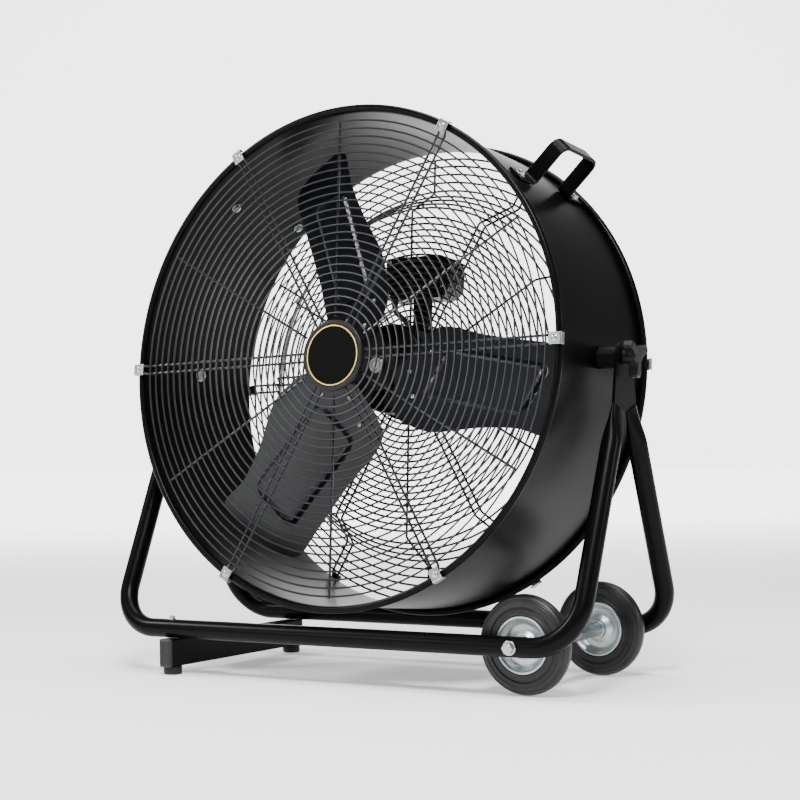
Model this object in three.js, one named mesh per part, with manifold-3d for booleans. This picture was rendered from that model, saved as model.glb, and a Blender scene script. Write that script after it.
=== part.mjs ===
// A portable drum fan: a short steel drum with wire guards, a three-bladed
// impeller and its motor, hung between two bent-tube legs on a wheeled stand.
//
// Millimetres. +Z is up, the air leaves towards -Y, and the wheels are at +X.
// The origin is on the floor, below the middle of the stand.

import * as THREE from 'three';
import { mergeVertices } from 'three/addons/utils/BufferGeometryUtils.js';
import Module from 'manifold-3d';

const wasm = await Module();
wasm.setup();

// ---------------------------------------------------------------- clearances

const SEAT_GAP = 0.3;
const WELD_DEPTH = 0.6;

// ---------------------------------------------------------------------- drum

const SHELL_RADIUS = 321;
const SHELL_WALL = 1.5;
const SHELL_LENGTH = 234.5;
const BEAD_RADIUS = 5;
const BEAD_STEP = 0.5;
const DRUM_TILT = 5.8;
const SHELL_SIDES = 56;

// ------------------------------------------------------------- pivot joints

const SPACER_LENGTH = 27.8;
const SPACER_RADIUS = 14.4;
const PLATE_THICKNESS = 4;
const PLATE_TOP_RADIUS = 20;
const PLATE_DROP = 63;
const PIVOT_BOLT_RADIUS = 5;
const PIVOT_HEAD_RADIUS = 9;
const PIVOT_HEAD_HEIGHT = 5;
const TONGUE_WIDTH = 14;
const TONGUE_LENGTH = 20;
const KNOB_HUB_RADIUS = 10;
const KNOB_HUB_LENGTH = 8;
const KNOB_ARM_REACH = 27;
const KNOB_ARM_WIDTH = 11;
const KNOB_ARM_THICKNESS = 13;
const KNOB_ARM_BEVEL = 1.2;
const KNOB_CROWN = 6;

// --------------------------------------------------------------------- stand

const TUBE_RADIUS = 12.6;
const FRONT_REACH = 141.9;
const REAR_REACH = 127.2;
const BEND_RADIUS = 60;
const LEG_SPREAD = 6.4;
const SWING_CLEARANCE = 4.5;
const CROSSBAR_INSET = 93.4;
const CROSSBAR_WIDTH = 20;
const CROSSBAR_OVERHANG = 18;
const CROSSBAR_CAP_LENGTH = 6;
const FOOT_RADIUS = 11.5;
const FOOT_HEIGHT = 10;
const BOLT_RADIUS = 4;
const BOLT_HEAD_RADIUS = 7.5;
const BOLT_HEAD_HEIGHT = 5;
const BOLT_DEPTH = 12;

// -------------------------------------------------------------------- wheels

const WHEEL_RADIUS = 61;
const TYRE_WIDTH = 21;
const TYRE_SHOULDER = 8;
const RIM_RADIUS = 34.9;
const RIM_WIDTH = 24;
const RIM_FLANGE = 3;
const WEB_THICKNESS = 4;
const WHEEL_HUB_RADIUS = 12;
const WHEEL_HUB_LENGTH = 30;
const AXLE_INSET = 81.7;
const AXLE_RADIUS = 6;
const AXLE_SPACER_RADIUS = 10;
const AXLE_COLLAR_LENGTH = 12;
const AXLE_HEAD_RADIUS = 10.5;
const AXLE_HEAD_HEIGHT = 7;

// -------------------------------------------------------------------- guards

const WIRE_WIDTH = 3;
const WIRE_HEIGHT = 3;
const HAIRPIN_SPACING = 10.5;
const SPOKE_PAIRS = 6;
const FRONT_RING_COUNT = 9;
const FRONT_RING_INNER = 56.2;
const REAR_RING_COUNT = 9;
const REAR_RING_INNER = 72;
const RING_MARGIN = 11;
const GUARD_SETBACK = 4;
const GUARD_ROLL = 1.3;
const DISH_DEPTH = 61;
const DISH_INNER_RADIUS = 225;
const DISH_OUTER_RADIUS = 263;
const CLIP_WIDTH = 15;
const CLIP_LENGTH = 17;
const CLIP_THICKNESS = 2;
const CLIP_LIP = 7;
const BADGE_RADIUS = 46.5;
const BADGE_DEPTH = 5;
const BADGE_LABEL_RADIUS = 40;
const BADGE_LABEL_THICKNESS = 0.8;

// ------------------------------------------------------------------ impeller

const BLADE_COUNT = 3;
const BLADE_ANGLE = -11;
const BLADE_AHEAD_OF_HUB = 11;
const BLADE_TIP_CLEARANCE = 21.5;
const BLADE_HALF_CHORD = 65;
const BLADE_PITCH = 22;
const BLADE_CAMBER = 4;
const BLADE_THICKNESS = 2;
const PANEL_START = 93;
const PANEL_END = 250;
const PANEL_HALF_WIDTH = 36;
const PANEL_OFFSET = 6;
const PANEL_CORNER = 14;
const PANEL_RAMP = 5;
const PANEL_RISE = 2.5;
const HUB_RADIUS = 34;
const HUB_THICKNESS = 8;
const HUB_TO_MOTOR = 2.75;
const HUB_NECK = 14;
const HUB_ARM_END = 91;
const HUB_ARM_HALF_WIDTH = 30;
const HUB_ARM_THICKNESS = 3;
const SHAFT_RADIUS = 6;
const BOSS_RADIUS = 11;
const BOSS_LENGTH = 4;

// ----------------------------------------------------- motor and control box

const MOTOR_RADIUS = 61;
const MOTOR_LENGTH = 64;
const MOTOR_SHOULDER = 12;
const MOTOR_BORE_DEPTH = 12;
const MOUNT_RADIUS = 66;
const MOUNT_THICKNESS = 3;
const MOUNT_BOSS_RADIUS = 17;
const POST_WIDTH = 23;
const POST_DEPTH = 14;
const POST_STANDOFF = 23;
const BOX_LEFT = -45;
const BOX_RIGHT = 45;
const BOX_BOTTOM = 103;
const BOX_HEIGHT = 59;
const BOX_DEPTH = 43;
const BOX_NOSE_RADIUS = 20;
const BOX_COVER_THICKNESS = 4;
const LEAD_RADIUS = 4;
const LEAD_GLAND_LENGTH = 7;
const GLAND_RADIUS = 8;
const GLAND_LENGTH = 14;
const SPEED_KNOB_RADIUS = 15;
const SPEED_KNOB_LENGTH = 18;

// ------------------------------------------------------------------- handles

const HANDLE_ANGLE = 45.3;
const HANDLE_HEIGHT = 65.7;
const HANDLE_SPAN = 94;
const HANDLE_CENTRE = 19;
const HANDLE_STRIP_WIDTH = 22;
const HANDLE_STRIP_THICKNESS = 4;
const HANDLE_FOOT_LENGTH = 38;
const HANDLE_BOLT_INSET = 12;
const HANDLE_BEND_RADIUS = 15;
const HANDLE_BOLT_RADIUS = 3;
const HANDLE_BOLT_HEAD_HEIGHT = 4;
const HANDLE_BOLT_TAIL = 7;

// -------------------------------------------------------------------- colours

const BLACK_PAINT = { color: 0x101113, roughness: 0.45, metalness: 0.3 };
const BLACK_STEEL = { color: 0x17181a, roughness: 0.38, metalness: 0.5 };
const BLADE_GREY = { color: 0x25272b, roughness: 0.42, metalness: 0.5 };
const BLACK_PLASTIC = { color: 0x0d0d0e, roughness: 0.6, metalness: 0.0 };
const BLACK_RUBBER = { color: 0x151515, roughness: 0.85, metalness: 0.0 };
const ZINC = { color: 0xbfc2c4, roughness: 0.3, metalness: 0.95 };

// ---------------------------------------------------------------- positions

const wheelHeight = WHEEL_RADIUS;
const tubeHeight = wheelHeight;
const plateInnerFace = SHELL_RADIUS + SEAT_GAP + SPACER_LENGTH + SEAT_GAP;
const plateOuterFace = plateInnerFace + PLATE_THICKNESS;
const legX = plateInnerFace + PLATE_THICKNESS / 2;
const axleX = legX - AXLE_INSET;
const crossbarX = CROSSBAR_INSET - legX;
const beadCentreRadius = SHELL_RADIUS - SHELL_WALL + BEAD_RADIUS + BEAD_STEP;
const beadRim = beadCentreRadius + BEAD_RADIUS;
const beadFace = SHELL_LENGTH / 2 + BEAD_RADIUS;
const drumCornerRadius = Math.hypot(beadRim, beadFace);
const pivotToTube = drumCornerRadius + SWING_CLEARANCE + TUBE_RADIUS;
const nearestReach = Math.min(FRONT_REACH, REAR_REACH);
const pivotHeight = tubeHeight + Math.sqrt(pivotToTube ** 2 - nearestReach ** 2);
const jointHeight = pivotHeight - PLATE_DROP;
const hairpinPlane = beadFace + SEAT_GAP + WIRE_HEIGHT / 2;
const guardPlane = hairpinPlane - GUARD_SETBACK - WIRE_HEIGHT / 2;
const guardRim = beadCentreRadius - BEAD_RADIUS - RING_MARGIN;
const mountFace = guardPlane - DISH_DEPTH + WIRE_HEIGHT / 2;
const mountFront = mountFace - MOUNT_THICKNESS;
const motorBack = mountFront - SEAT_GAP;
const motorFront = motorBack - MOTOR_LENGTH;
const hubFace = motorFront - HUB_TO_MOTOR - HUB_THICKNESS;
const bladePlane = hubFace - BLADE_AHEAD_OF_HUB;
const bladeTip = SHELL_RADIUS - SHELL_WALL - BLADE_TIP_CLEARANCE;
const postFace = mountFace + POST_STANDOFF;

// ------------------------------------------------------------------- helpers

const radians = THREE.MathUtils.degToRad;
const point = (x, y, z) => new THREE.Vector3(x, y, z);

/** Six times the signed volume inside an indexed mesh. */
function signedVolume(geometry) {
  const at = geometry.getAttribute('position');
  const index = geometry.getIndex();
  let total = 0;
  for (let i = 0; i < index.count; i += 3) {
    const a = new THREE.Vector3().fromBufferAttribute(at, index.getX(i));
    const b = new THREE.Vector3().fromBufferAttribute(at, index.getX(i + 1));
    const c = new THREE.Vector3().fromBufferAttribute(at, index.getX(i + 2));
    total += a.dot(b.cross(c));
  }
  return total;
}

/** Merge shared corners, drop empty triangles and turn the faces outwards. */
function closed(source) {
  const bare = source.clone();
  bare.deleteAttribute('normal');
  bare.deleteAttribute('uv');
  const merged = mergeVertices(bare, 1e-4);
  const from = merged.getIndex();
  const kept = [];
  for (let i = 0; i < from.count; i += 3) {
    const corners = [from.getX(i), from.getX(i + 1), from.getX(i + 2)];
    if (new Set(corners).size === 3) kept.push(...corners);
  }
  merged.setIndex(kept);
  if (signedVolume(merged) < 0) merged.setIndex(kept.reverse());
  return merged;
}

/** The solid of a closed three.js geometry, for joining and cutting. */
function solidOf(geometry) {
  const body = closed(geometry);
  return new wasm.Manifold(new wasm.Mesh({
    numProp: 3,
    vertProperties: new Float32Array(body.getAttribute('position').array),
    triVerts: new Uint32Array(body.getIndex().array),
  }));
}

/** The three.js geometry of a solid. */
function geometryOf(solid) {
  const mesh = solid.getMesh();
  const geometry = new THREE.BufferGeometry();
  const corners = new THREE.BufferAttribute(new Float32Array(mesh.vertProperties), 3);
  geometry.setAttribute('position', corners);
  geometry.setIndex([...mesh.triVerts]);
  return geometry;
}

/** Join some geometries, then cut others out of them. */
function carve(added, removed = []) {
  let solid = added.map(solidOf).reduce((sum, next) => sum.add(next));
  for (const tool of removed) solid = solid.subtract(solidOf(tool));
  return geometryOf(solid);
}

/** A closed skin through a row of section outlines with equal corner counts. */
function loft(sections) {
  const size = sections[0].length;
  const corners = sections.flat();
  const faces = [];
  for (let k = 0; k + 1 < sections.length; k += 1) {
    for (let i = 0; i < size; i += 1) {
      const a = k * size + i;
      const b = k * size + (i + 1) % size;
      faces.push(a, b, b + size, a, b + size, a + size);
    }
  }
  const last = (sections.length - 1) * size;
  const caps = THREE.ShapeUtils.triangulateShape(flattened(sections[0]), []);
  const ends = THREE.ShapeUtils.triangulateShape(flattened(sections.at(-1)), []);
  for (const [a, b, c] of caps) faces.push(c, b, a);
  for (const [a, b, c] of ends) faces.push(last + a, last + b, last + c);
  const geometry = new THREE.BufferGeometry().setFromPoints(corners);
  geometry.setIndex(faces);
  return geometry;
}

/** A planar outline in space, laid into its own plane with its turn kept. */
function flattened(outline) {
  const origin = outline[0];
  const along = outline[1].clone().sub(origin).normalize();
  const normal = new THREE.Vector3();
  for (let i = 0; i < outline.length; i += 1) {
    normal.add(outline[i].clone().cross(outline[(i + 1) % outline.length]));
  }
  const across = normal.normalize().clone().cross(along).normalize();
  return outline.map((corner) => {
    const arm = corner.clone().sub(origin);
    return new THREE.Vector2(arm.dot(along), arm.dot(across));
  });
}

/** A solid turned about the Y axis from [radius, y] points. */
function turned(profile, segments = 24) {
  return new THREE.LatheGeometry(profile.map(([r, y]) => new THREE.Vector2(r, y)), segments);
}

/** A round bar between two heights on the Z axis. */
function bar(radius, low, high, sides = 16) {
  const body = new THREE.CylinderGeometry(radius, radius, high - low, sides);
  body.rotateX(Math.PI / 2);
  body.translate(0, 0, (low + high) / 2);
  return body;
}

/** A hexagonal bar between two heights on the Z axis. */
const hexagon = (radius, low, high) => bar(radius, low, high, 6);

/** Turn a solid built along Z so that it lies along +X. */
function alongX(geometry) {
  geometry.rotateY(Math.PI / 2);
  return geometry;
}

/** Turn a solid built along Z so that it lies along +Y. */
function alongY(geometry) {
  geometry.rotateX(-Math.PI / 2);
  return geometry;
}

function moved(geometry, x, y, z) {
  geometry.translate(x, y, z);
  return geometry;
}

/** A flat outline of [x, y] points, extruded from one height to another. */
function prism(outline, low, high, bevel = 0) {
  const shape = new THREE.Shape(outline.map(([x, y]) => new THREE.Vector2(x, y)));
  const body = new THREE.ExtrudeGeometry(shape, {
    depth: high - low - 2 * bevel,
    bevelEnabled: bevel > 0,
    bevelSize: bevel,
    bevelOffset: -bevel,
    bevelThickness: bevel,
    bevelSegments: 1,
  });
  body.translate(0, 0, low + bevel);
  return body;
}

/** Points on an arc, in degrees, ends included. */
function arc(cx, cy, radius, from, to, steps) {
  return Array.from({ length: steps + 1 }, (unused, i) => {
    const angle = radians(from + (to - from) * i / steps);
    return [cx + radius * Math.cos(angle), cy + radius * Math.sin(angle)];
  });
}

/** A path whose steps fall on chosen stations, close together only in bends. */
class StationPath extends THREE.Curve {
  constructor(stations) {
    super();
    this.stations = stations;
  }

  getPointAt(u) {
    return this.stations[Math.round(u * (this.stations.length - 1))].clone();
  }

  getTangentAt(u) {
    const last = this.stations.length - 1;
    const i = Math.round(u * last);
    const before = this.stations[Math.max(i - 1, 0)];
    const after = this.stations[Math.min(i + 1, last)];
    const here = this.stations[i];
    const tangent = new THREE.Vector3();
    if (i > 0) tangent.add(here.clone().sub(before).normalize());
    if (i < last) tangent.add(after.clone().sub(here).normalize());
    return tangent.normalize();
  }
}

/** A round rod along stations. */
function rod(radius, stations, sides = 10) {
  const section = new THREE.Shape(arc(0, 0, radius, 0, 360 * (1 - 1 / sides), sides - 1)
    .map(([x, y]) => new THREE.Vector2(x, y)));
  return new THREE.ExtrudeGeometry(section, {
    steps: stations.length - 1,
    extrudePath: new StationPath(stations),
    bevelEnabled: false,
  });
}

/** Add one named sub-part with a material of its own. */
function add(parent, name, geometry, finish) {
  const body = closed(geometry);
  body.computeVertexNormals();
  const mesh = new THREE.Mesh(body, new THREE.MeshStandardMaterial(finish));
  mesh.name = name;
  parent.add(mesh);
  return mesh;
}

// -------------------------------------------------------------------- groups

const fan = new THREE.Group();
const stand = new THREE.Group();
const drum = new THREE.Group();
const impeller = new THREE.Group();
drum.position.set(0, 0, pivotHeight);
drum.rotation.x = -radians(DRUM_TILT);
drum.add(impeller);
fan.add(stand, drum);

// --------------------------------------------------------------------- stand

/** A leg frame's sloping plane: its lowest line, its uphill direction, its length. */
function legFrame(reach, side) {
  const top = (TUBE_RADIUS + LEG_SPREAD) * side;
  const foot = point(0, reach * side, tubeHeight);
  const up = point(0, top, jointHeight).sub(foot);
  const length = up.length();
  return { foot, up: up.normalize(), length };
}

const frontFrame = legFrame(FRONT_REACH, -1);
const rearFrame = legFrame(REAR_REACH, 1);

/** Stations of a U-shaped frame: up one side, across the floor, up the other. */
function frameStations(frame) {
  const bend = arc(legX - BEND_RADIUS, BEND_RADIUS, BEND_RADIUS, 0, -90, 5);
  const half = [[legX, frame.length], ...bend];
  const whole = [...half, ...half.map(([x, rise]) => [-x, rise]).reverse()];
  return whole.map(([x, rise]) => frame.foot.clone()
    .addScaledVector(frame.up, rise)
    .add(point(x, 0, 0)));
}

/** A block lying along a leg, in the leg's own directions, as a cutting tool. */
function alongLeg(frame, side, width, thickness, from, to) {
  const block = new THREE.BoxGeometry(thickness, width, to - from);
  block.translate(0, 0, (from + to) / 2);
  block.rotateX(-Math.atan2(frame.up.y, frame.up.z));
  const top = frame.foot.clone().addScaledVector(frame.up, frame.length);
  block.translate(side * legX, top.y, top.z);
  return block;
}

/** The bent tube of one leg frame, slotted for the plates, drilled for bolts. */
function legTube(frame) {
  const y = frame.foot.y;
  const slots = [1, -1].map((side) => alongLeg(
    frame,
    side,
    TONGUE_WIDTH + 2 * SEAT_GAP,
    PLATE_THICKNESS + 2 * SEAT_GAP,
    -TONGUE_LENGTH - SEAT_GAP,
    SEAT_GAP,
  ));
  const reach = 2 * TUBE_RADIUS;
  const axleHole = alongY(bar(AXLE_RADIUS + SEAT_GAP, -reach, reach, 12));
  const boltHole = bar(BOLT_RADIUS + SEAT_GAP, -reach, reach, 8);
  return carve([rod(TUBE_RADIUS, frameStations(frame), 12)], [
    ...slots,
    moved(axleHole, axleX, y, tubeHeight),
    moved(boltHole, crossbarX, y, tubeHeight),
  ]);
}

add(stand, 'front_tube', legTube(frontFrame), BLACK_PAINT);
add(stand, 'rear_tube', legTube(rearFrame), BLACK_PAINT);

/** The plate's lower edge over one leg, from the inside of the V outwards. */
function plateSeat(frame) {
  const side = Math.sign(frame.foot.y);
  const top = frame.foot.clone().addScaledVector(frame.up, frame.length);
  const outward = point(0, frame.up.z * side, -frame.up.y * side);
  const at = (across, rise) => {
    const corner = top.clone()
      .addScaledVector(outward, across)
      .addScaledVector(frame.up, rise);
    return [corner.y, corner.z - pivotHeight];
  };
  const edge = TONGUE_WIDTH / 2;
  return [
    at(-TUBE_RADIUS, SEAT_GAP),
    at(-edge, SEAT_GAP),
    at(-edge, -TONGUE_LENGTH),
    at(edge, -TONGUE_LENGTH),
    at(edge, SEAT_GAP),
    at(TUBE_RADIUS, SEAT_GAP),
  ];
}

/** The angle of the tangent from an outside point to the plate's round top. */
function tangentAngle([y, z]) {
  const lean = Math.acos(PLATE_TOP_RADIUS / Math.hypot(y, z));
  const sweep = THREE.MathUtils.radToDeg(Math.atan2(z, y));
  const turn = THREE.MathUtils.radToDeg(lean) * Math.sign(y);
  return sweep + turn;
}

/** The hanger plate: a round eye that widens into two tongues in the tubes. */
function hangerPlate(side) {
  const rear = plateSeat(rearFrame);
  const front = plateSeat(frontFrame).reverse();
  const from = tangentAngle(rear.at(-1));
  const to = tangentAngle(front[0]) + 360;
  const eye = arc(0, 0, PLATE_TOP_RADIUS, from, to, 12);
  const outline = [...rear, ...eye, ...front];
  const blank = prism(outline, 0, PLATE_THICKNESS);
  const bore = bar(PIVOT_BOLT_RADIUS + SEAT_GAP, -1, PLATE_THICKNESS + 1, 16);
  const plate = carve([blank], [bore]);
  plate.rotateX(Math.PI / 2);
  plate.rotateZ(Math.PI / 2);
  const start = side > 0 ? plateInnerFace : -plateOuterFace;
  return moved(plate, start, 0, pivotHeight);
}

add(stand, 'plate_right', hangerPlate(1), BLACK_PAINT);
add(stand, 'plate_left', hangerPlate(-1), BLACK_PAINT);

// The square bar that ties the two frames together at the end without wheels.
const barTop = tubeHeight - TUBE_RADIUS - SEAT_GAP;
const barBottom = FOOT_HEIGHT + SEAT_GAP;
const barFront = -FRONT_REACH - CROSSBAR_OVERHANG + CROSSBAR_CAP_LENGTH;
const barRear = REAR_REACH + CROSSBAR_OVERHANG - CROSSBAR_CAP_LENGTH;

function crossbar() {
  const long = barRear - barFront;
  const beam = new THREE.BoxGeometry(CROSSBAR_WIDTH, long, barTop - barBottom);
  beam.translate(crossbarX, (barRear + barFront) / 2, (barTop + barBottom) / 2);
  const holes = [-FRONT_REACH, REAR_REACH].map((y) => moved(
    bar(BOLT_RADIUS + SEAT_GAP, barTop - BOLT_DEPTH - SEAT_GAP, barTop + 1, 8),
    crossbarX,
    y,
    0,
  ));
  return carve([beam], holes);
}

/** A push-in end cap whose outer edges are bevelled. */
function crossbarCap(y, direction) {
  const x = CROSSBAR_WIDTH / 2;
  const z = (barTop - barBottom) / 2;
  const outline = [[-x, -z], [x, -z], [x, z], [-x, z]];
  const cap = prism(outline, 0, CROSSBAR_CAP_LENGTH - SEAT_GAP, 2);
  cap.rotateX(-Math.PI / 2 * direction);
  return moved(cap, crossbarX, y + SEAT_GAP * direction, (barTop + barBottom) / 2);
}

/** A moulded rubber foot, a little wider where it meets the bar. */
function foot(y) {
  const profile = [
    [0, 0],
    [FOOT_RADIUS - 1.5, 0],
    [FOOT_RADIUS - 0.5, 1.5],
    [FOOT_RADIUS, FOOT_HEIGHT],
    [0, FOOT_HEIGHT],
  ];
  const body = turned(profile, 20);
  body.rotateX(Math.PI / 2);
  return moved(body, crossbarX, y, 0);
}

/** A bolt dropped through a tube into the bar below it. */
function crossbarBolt(y) {
  const crown = tubeHeight + TUBE_RADIUS + SEAT_GAP;
  const head = hexagon(BOLT_HEAD_RADIUS, crown, crown + BOLT_HEAD_HEIGHT);
  const shank = bar(BOLT_RADIUS, barTop - BOLT_DEPTH, crown + 1, 8);
  return moved(carve([head, shank]), crossbarX, y, 0);
}

add(stand, 'crossbar', crossbar(), BLACK_PAINT);
add(stand, 'crossbar_cap_front', crossbarCap(barFront, -1), BLACK_PLASTIC);
add(stand, 'crossbar_cap_rear', crossbarCap(barRear, 1), BLACK_PLASTIC);
add(stand, 'foot_front', foot(-FRONT_REACH), BLACK_RUBBER);
add(stand, 'foot_rear', foot(REAR_REACH), BLACK_RUBBER);
add(stand, 'crossbar_bolt_front', crossbarBolt(-FRONT_REACH), ZINC);
add(stand, 'crossbar_bolt_rear', crossbarBolt(REAR_REACH), ZINC);

// -------------------------------------------------------------------- wheels

const tubeInnerFront = -FRONT_REACH + TUBE_RADIUS;
const tubeInnerRear = REAR_REACH - TUBE_RADIUS;
const collarStart = tubeInnerRear - SEAT_GAP - AXLE_COLLAR_LENGTH;
const frontWheelY = tubeInnerFront + SEAT_GAP + WHEEL_HUB_LENGTH / 2;
const rearWheelY = collarStart - SEAT_GAP - WHEEL_HUB_LENGTH / 2;
const axleBore = AXLE_RADIUS + SEAT_GAP;

/** A pressed wheel: a hub tube, a thin web and a flanged rim, in one turning. */
function rim() {
  const hub = WHEEL_HUB_LENGTH / 2;
  const web = WEB_THICKNESS / 2;
  const edge = RIM_WIDTH / 2;
  const well = RIM_RADIUS - RIM_FLANGE;
  const half = [
    [axleBore, hub],
    [WHEEL_HUB_RADIUS, hub],
    [WHEEL_HUB_RADIUS + 2, web],
    [well - 4, web],
    [well, edge],
    [RIM_RADIUS, edge],
  ];
  const mirrored = half.map(([r, y]) => [r, -y]).reverse();
  return turned([...half, ...mirrored, half[0]], 24);
}

/** A solid tyre with a flat tread and rounded shoulders. */
function tyre() {
  const inner = RIM_RADIUS + SEAT_GAP;
  const side = TYRE_WIDTH / 2;
  const corner = TYRE_SHOULDER;
  const half = [
    [inner, side],
    [WHEEL_RADIUS - corner * 1.25, side],
    ...arc(WHEEL_RADIUS - corner, side - corner, corner, 60, 0, 2),
  ];
  const mirrored = half.map(([r, y]) => [r, -y]).reverse();
  return turned([...half, ...mirrored, half[0]], 32);
}

for (const [name, y] of [['front', frontWheelY], ['rear', rearWheelY]]) {
  const wheel = new THREE.Group();
  wheel.position.set(axleX, y, wheelHeight);
  add(wheel, `wheel_${name}_rim`, rim(), ZINC);
  add(wheel, `wheel_${name}_tyre`, tyre(), BLACK_RUBBER);
  stand.add(wheel);
}

/** A plain sleeve on the axle between two places along Y. */
function sleeve(from, to) {
  const profile = [
    [axleBore, from],
    [AXLE_SPACER_RADIUS, from],
    [AXLE_SPACER_RADIUS, to],
    [axleBore, to],
    [axleBore, from],
  ];
  return moved(turned(profile, 16), axleX, 0, wheelHeight);
}

const spacerFrom = frontWheelY + WHEEL_HUB_LENGTH / 2 + SEAT_GAP;
const spacerTo = rearWheelY - WHEEL_HUB_LENGTH / 2 - SEAT_GAP;
const axleHeadFace = -FRONT_REACH - TUBE_RADIUS - SEAT_GAP;
const axleNutFace = REAR_REACH + TUBE_RADIUS + SEAT_GAP;
const axleTip = axleNutFace + AXLE_HEAD_HEIGHT - 1;

function axle() {
  const head = alongY(hexagon(AXLE_HEAD_RADIUS, axleHeadFace - AXLE_HEAD_HEIGHT, axleHeadFace));
  const shank = alongY(bar(AXLE_RADIUS, axleHeadFace - 1, axleTip, 12));
  return moved(carve([head, shank]), axleX, 0, wheelHeight);
}

function axleNut() {
  const blank = alongY(hexagon(AXLE_HEAD_RADIUS, axleNutFace, axleNutFace + AXLE_HEAD_HEIGHT));
  const bore = alongY(bar(axleBore, axleNutFace - 1, axleTip + SEAT_GAP, 12));
  return moved(carve([blank], [bore]), axleX, 0, wheelHeight);
}

add(stand, 'axle', axle(), ZINC);
add(stand, 'axle_spacer', sleeve(spacerFrom, spacerTo), ZINC);
add(stand, 'axle_collar', sleeve(collarStart, tubeInnerRear - SEAT_GAP), ZINC);
add(stand, 'axle_nut', axleNut(), ZINC);

// ---------------------------------------------------------------- drum shell

/** One rolled bead, from the inside of the wall round to its outside. */
function bead(end) {
  const y = SHELL_LENGTH / 2;
  const join = THREE.MathUtils.radToDeg(
    Math.acos((SHELL_RADIUS - beadCentreRadius) / BEAD_RADIUS),
  );
  return arc(beadCentreRadius, y, BEAD_RADIUS, 180, -join, 5)
    .map(([r, along]) => [r, along * end]);
}

const handleFootTop = SHELL_RADIUS + SEAT_GAP + HANDLE_STRIP_THICKNESS;
const handleEnds = [
  HANDLE_CENTRE - HANDLE_SPAN / 2 - HANDLE_FOOT_LENGTH + HANDLE_BOLT_INSET,
  HANDLE_CENTRE + HANDLE_SPAN / 2 + HANDLE_FOOT_LENGTH - HANDLE_BOLT_INSET,
];
const handleAngles = { right: HANDLE_ANGLE, left: 180 - HANDLE_ANGLE };

/** Turn a solid built about the +X radius to an angle round the drum. */
function aroundDrum(geometry, degrees) {
  geometry.rotateY(-radians(degrees));
  return geometry;
}

/** The open drum: a thin wall with a rolled bead at each end, and bolt holes. */
function drumShell() {
  const inner = SHELL_RADIUS - SHELL_WALL;
  const wallEnd = SHELL_LENGTH / 2 - BEAD_RADIUS / 2;
  const rear = bead(1);
  const front = bead(-1).reverse();
  const profile = [[inner, -wallEnd], [inner, wallEnd], ...rear, ...front];
  const shell = turned([...profile, profile[0]], SHELL_SIDES);
  const through = (radius, sides) => alongX(bar(radius, inner - 8, SHELL_RADIUS + 4, sides));
  const holes = [0, 180].map((angle) => aroundDrum(through(PIVOT_BOLT_RADIUS + SEAT_GAP, 12), angle));
  for (const angle of Object.values(handleAngles)) {
    for (const y of handleEnds) {
      const hole = moved(through(HANDLE_BOLT_RADIUS + SEAT_GAP, 8), 0, y, 0);
      holes.push(aroundDrum(hole, angle));
    }
  }
  return carve([shell], holes);
}

add(drum, 'drum_shell', drumShell(), BLACK_PAINT);

// ------------------------------------------------------------- pivot fixings

function pivotSpacer() {
  const bore = PIVOT_BOLT_RADIUS + SEAT_GAP;
  const from = SHELL_RADIUS + SEAT_GAP;
  const profile = [
    [bore, from],
    [SPACER_RADIUS, from],
    [SPACER_RADIUS, from + SPACER_LENGTH],
    [bore, from + SPACER_LENGTH],
    [bore, from],
  ];
  const body = turned(profile, 16);
  body.rotateZ(-Math.PI / 2);
  return body;
}

const knobFace = plateOuterFace + SEAT_GAP;
const knobEnd = knobFace + KNOB_HUB_LENGTH + KNOB_ARM_THICKNESS;
const pivotTip = knobEnd - KNOB_CROWN;

/** The pivot bolt: its head inside the drum, its tip inside the clamp knob. */
function pivotBolt() {
  const seat = (SHELL_RADIUS - SHELL_WALL) * Math.cos(Math.PI / SHELL_SIDES) - SEAT_GAP;
  const head = hexagon(PIVOT_HEAD_RADIUS, seat - PIVOT_HEAD_HEIGHT, seat);
  const shank = bar(PIVOT_BOLT_RADIUS, seat - 1, pivotTip, 12);
  return alongX(carve([head, shank]));
}

/** A three-armed clamp knob on a short round hub, with a blind bore. */
function clampKnob(firstArm) {
  const half = KNOB_ARM_WIDTH / 2;
  const reach = KNOB_ARM_REACH;
  const arm = [
    [half * 1.3, -half],
    [reach - 2, -half * 0.9],
    [reach, -half * 0.5],
    [reach, half * 0.5],
    [reach - 2, half * 0.9],
    [half * 1.3, half],
  ];
  const outline = [0, 120, 240].flatMap((degrees) => {
    const turn = radians(degrees + firstArm);
    return arm.map(([x, y]) => [
      x * Math.cos(turn) - y * Math.sin(turn),
      x * Math.sin(turn) + y * Math.cos(turn),
    ]);
  });
  const star = prism(outline, knobEnd - KNOB_ARM_THICKNESS, knobEnd, KNOB_ARM_BEVEL);
  const hub = bar(KNOB_HUB_RADIUS, knobFace, knobEnd - 2, 20);
  const bore = bar(PIVOT_BOLT_RADIUS + SEAT_GAP, knobFace - 1, pivotTip + SEAT_GAP, 12);
  return alongX(carve([star, hub], [bore]));
}

// On both sides the first arm of the knob points down.
for (const [name, degrees] of [['right', 0], ['left', 180]]) {
  add(drum, `pivot_spacer_${name}`, aroundDrum(pivotSpacer(), degrees), BLACK_STEEL);
  add(drum, `pivot_bolt_${name}`, aroundDrum(pivotBolt(), degrees), ZINC);
  add(drum, `clamp_knob_${name}`, aroundDrum(clampKnob(degrees), degrees), BLACK_PLASTIC);
}

// ------------------------------------------------------------------- handles

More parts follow.
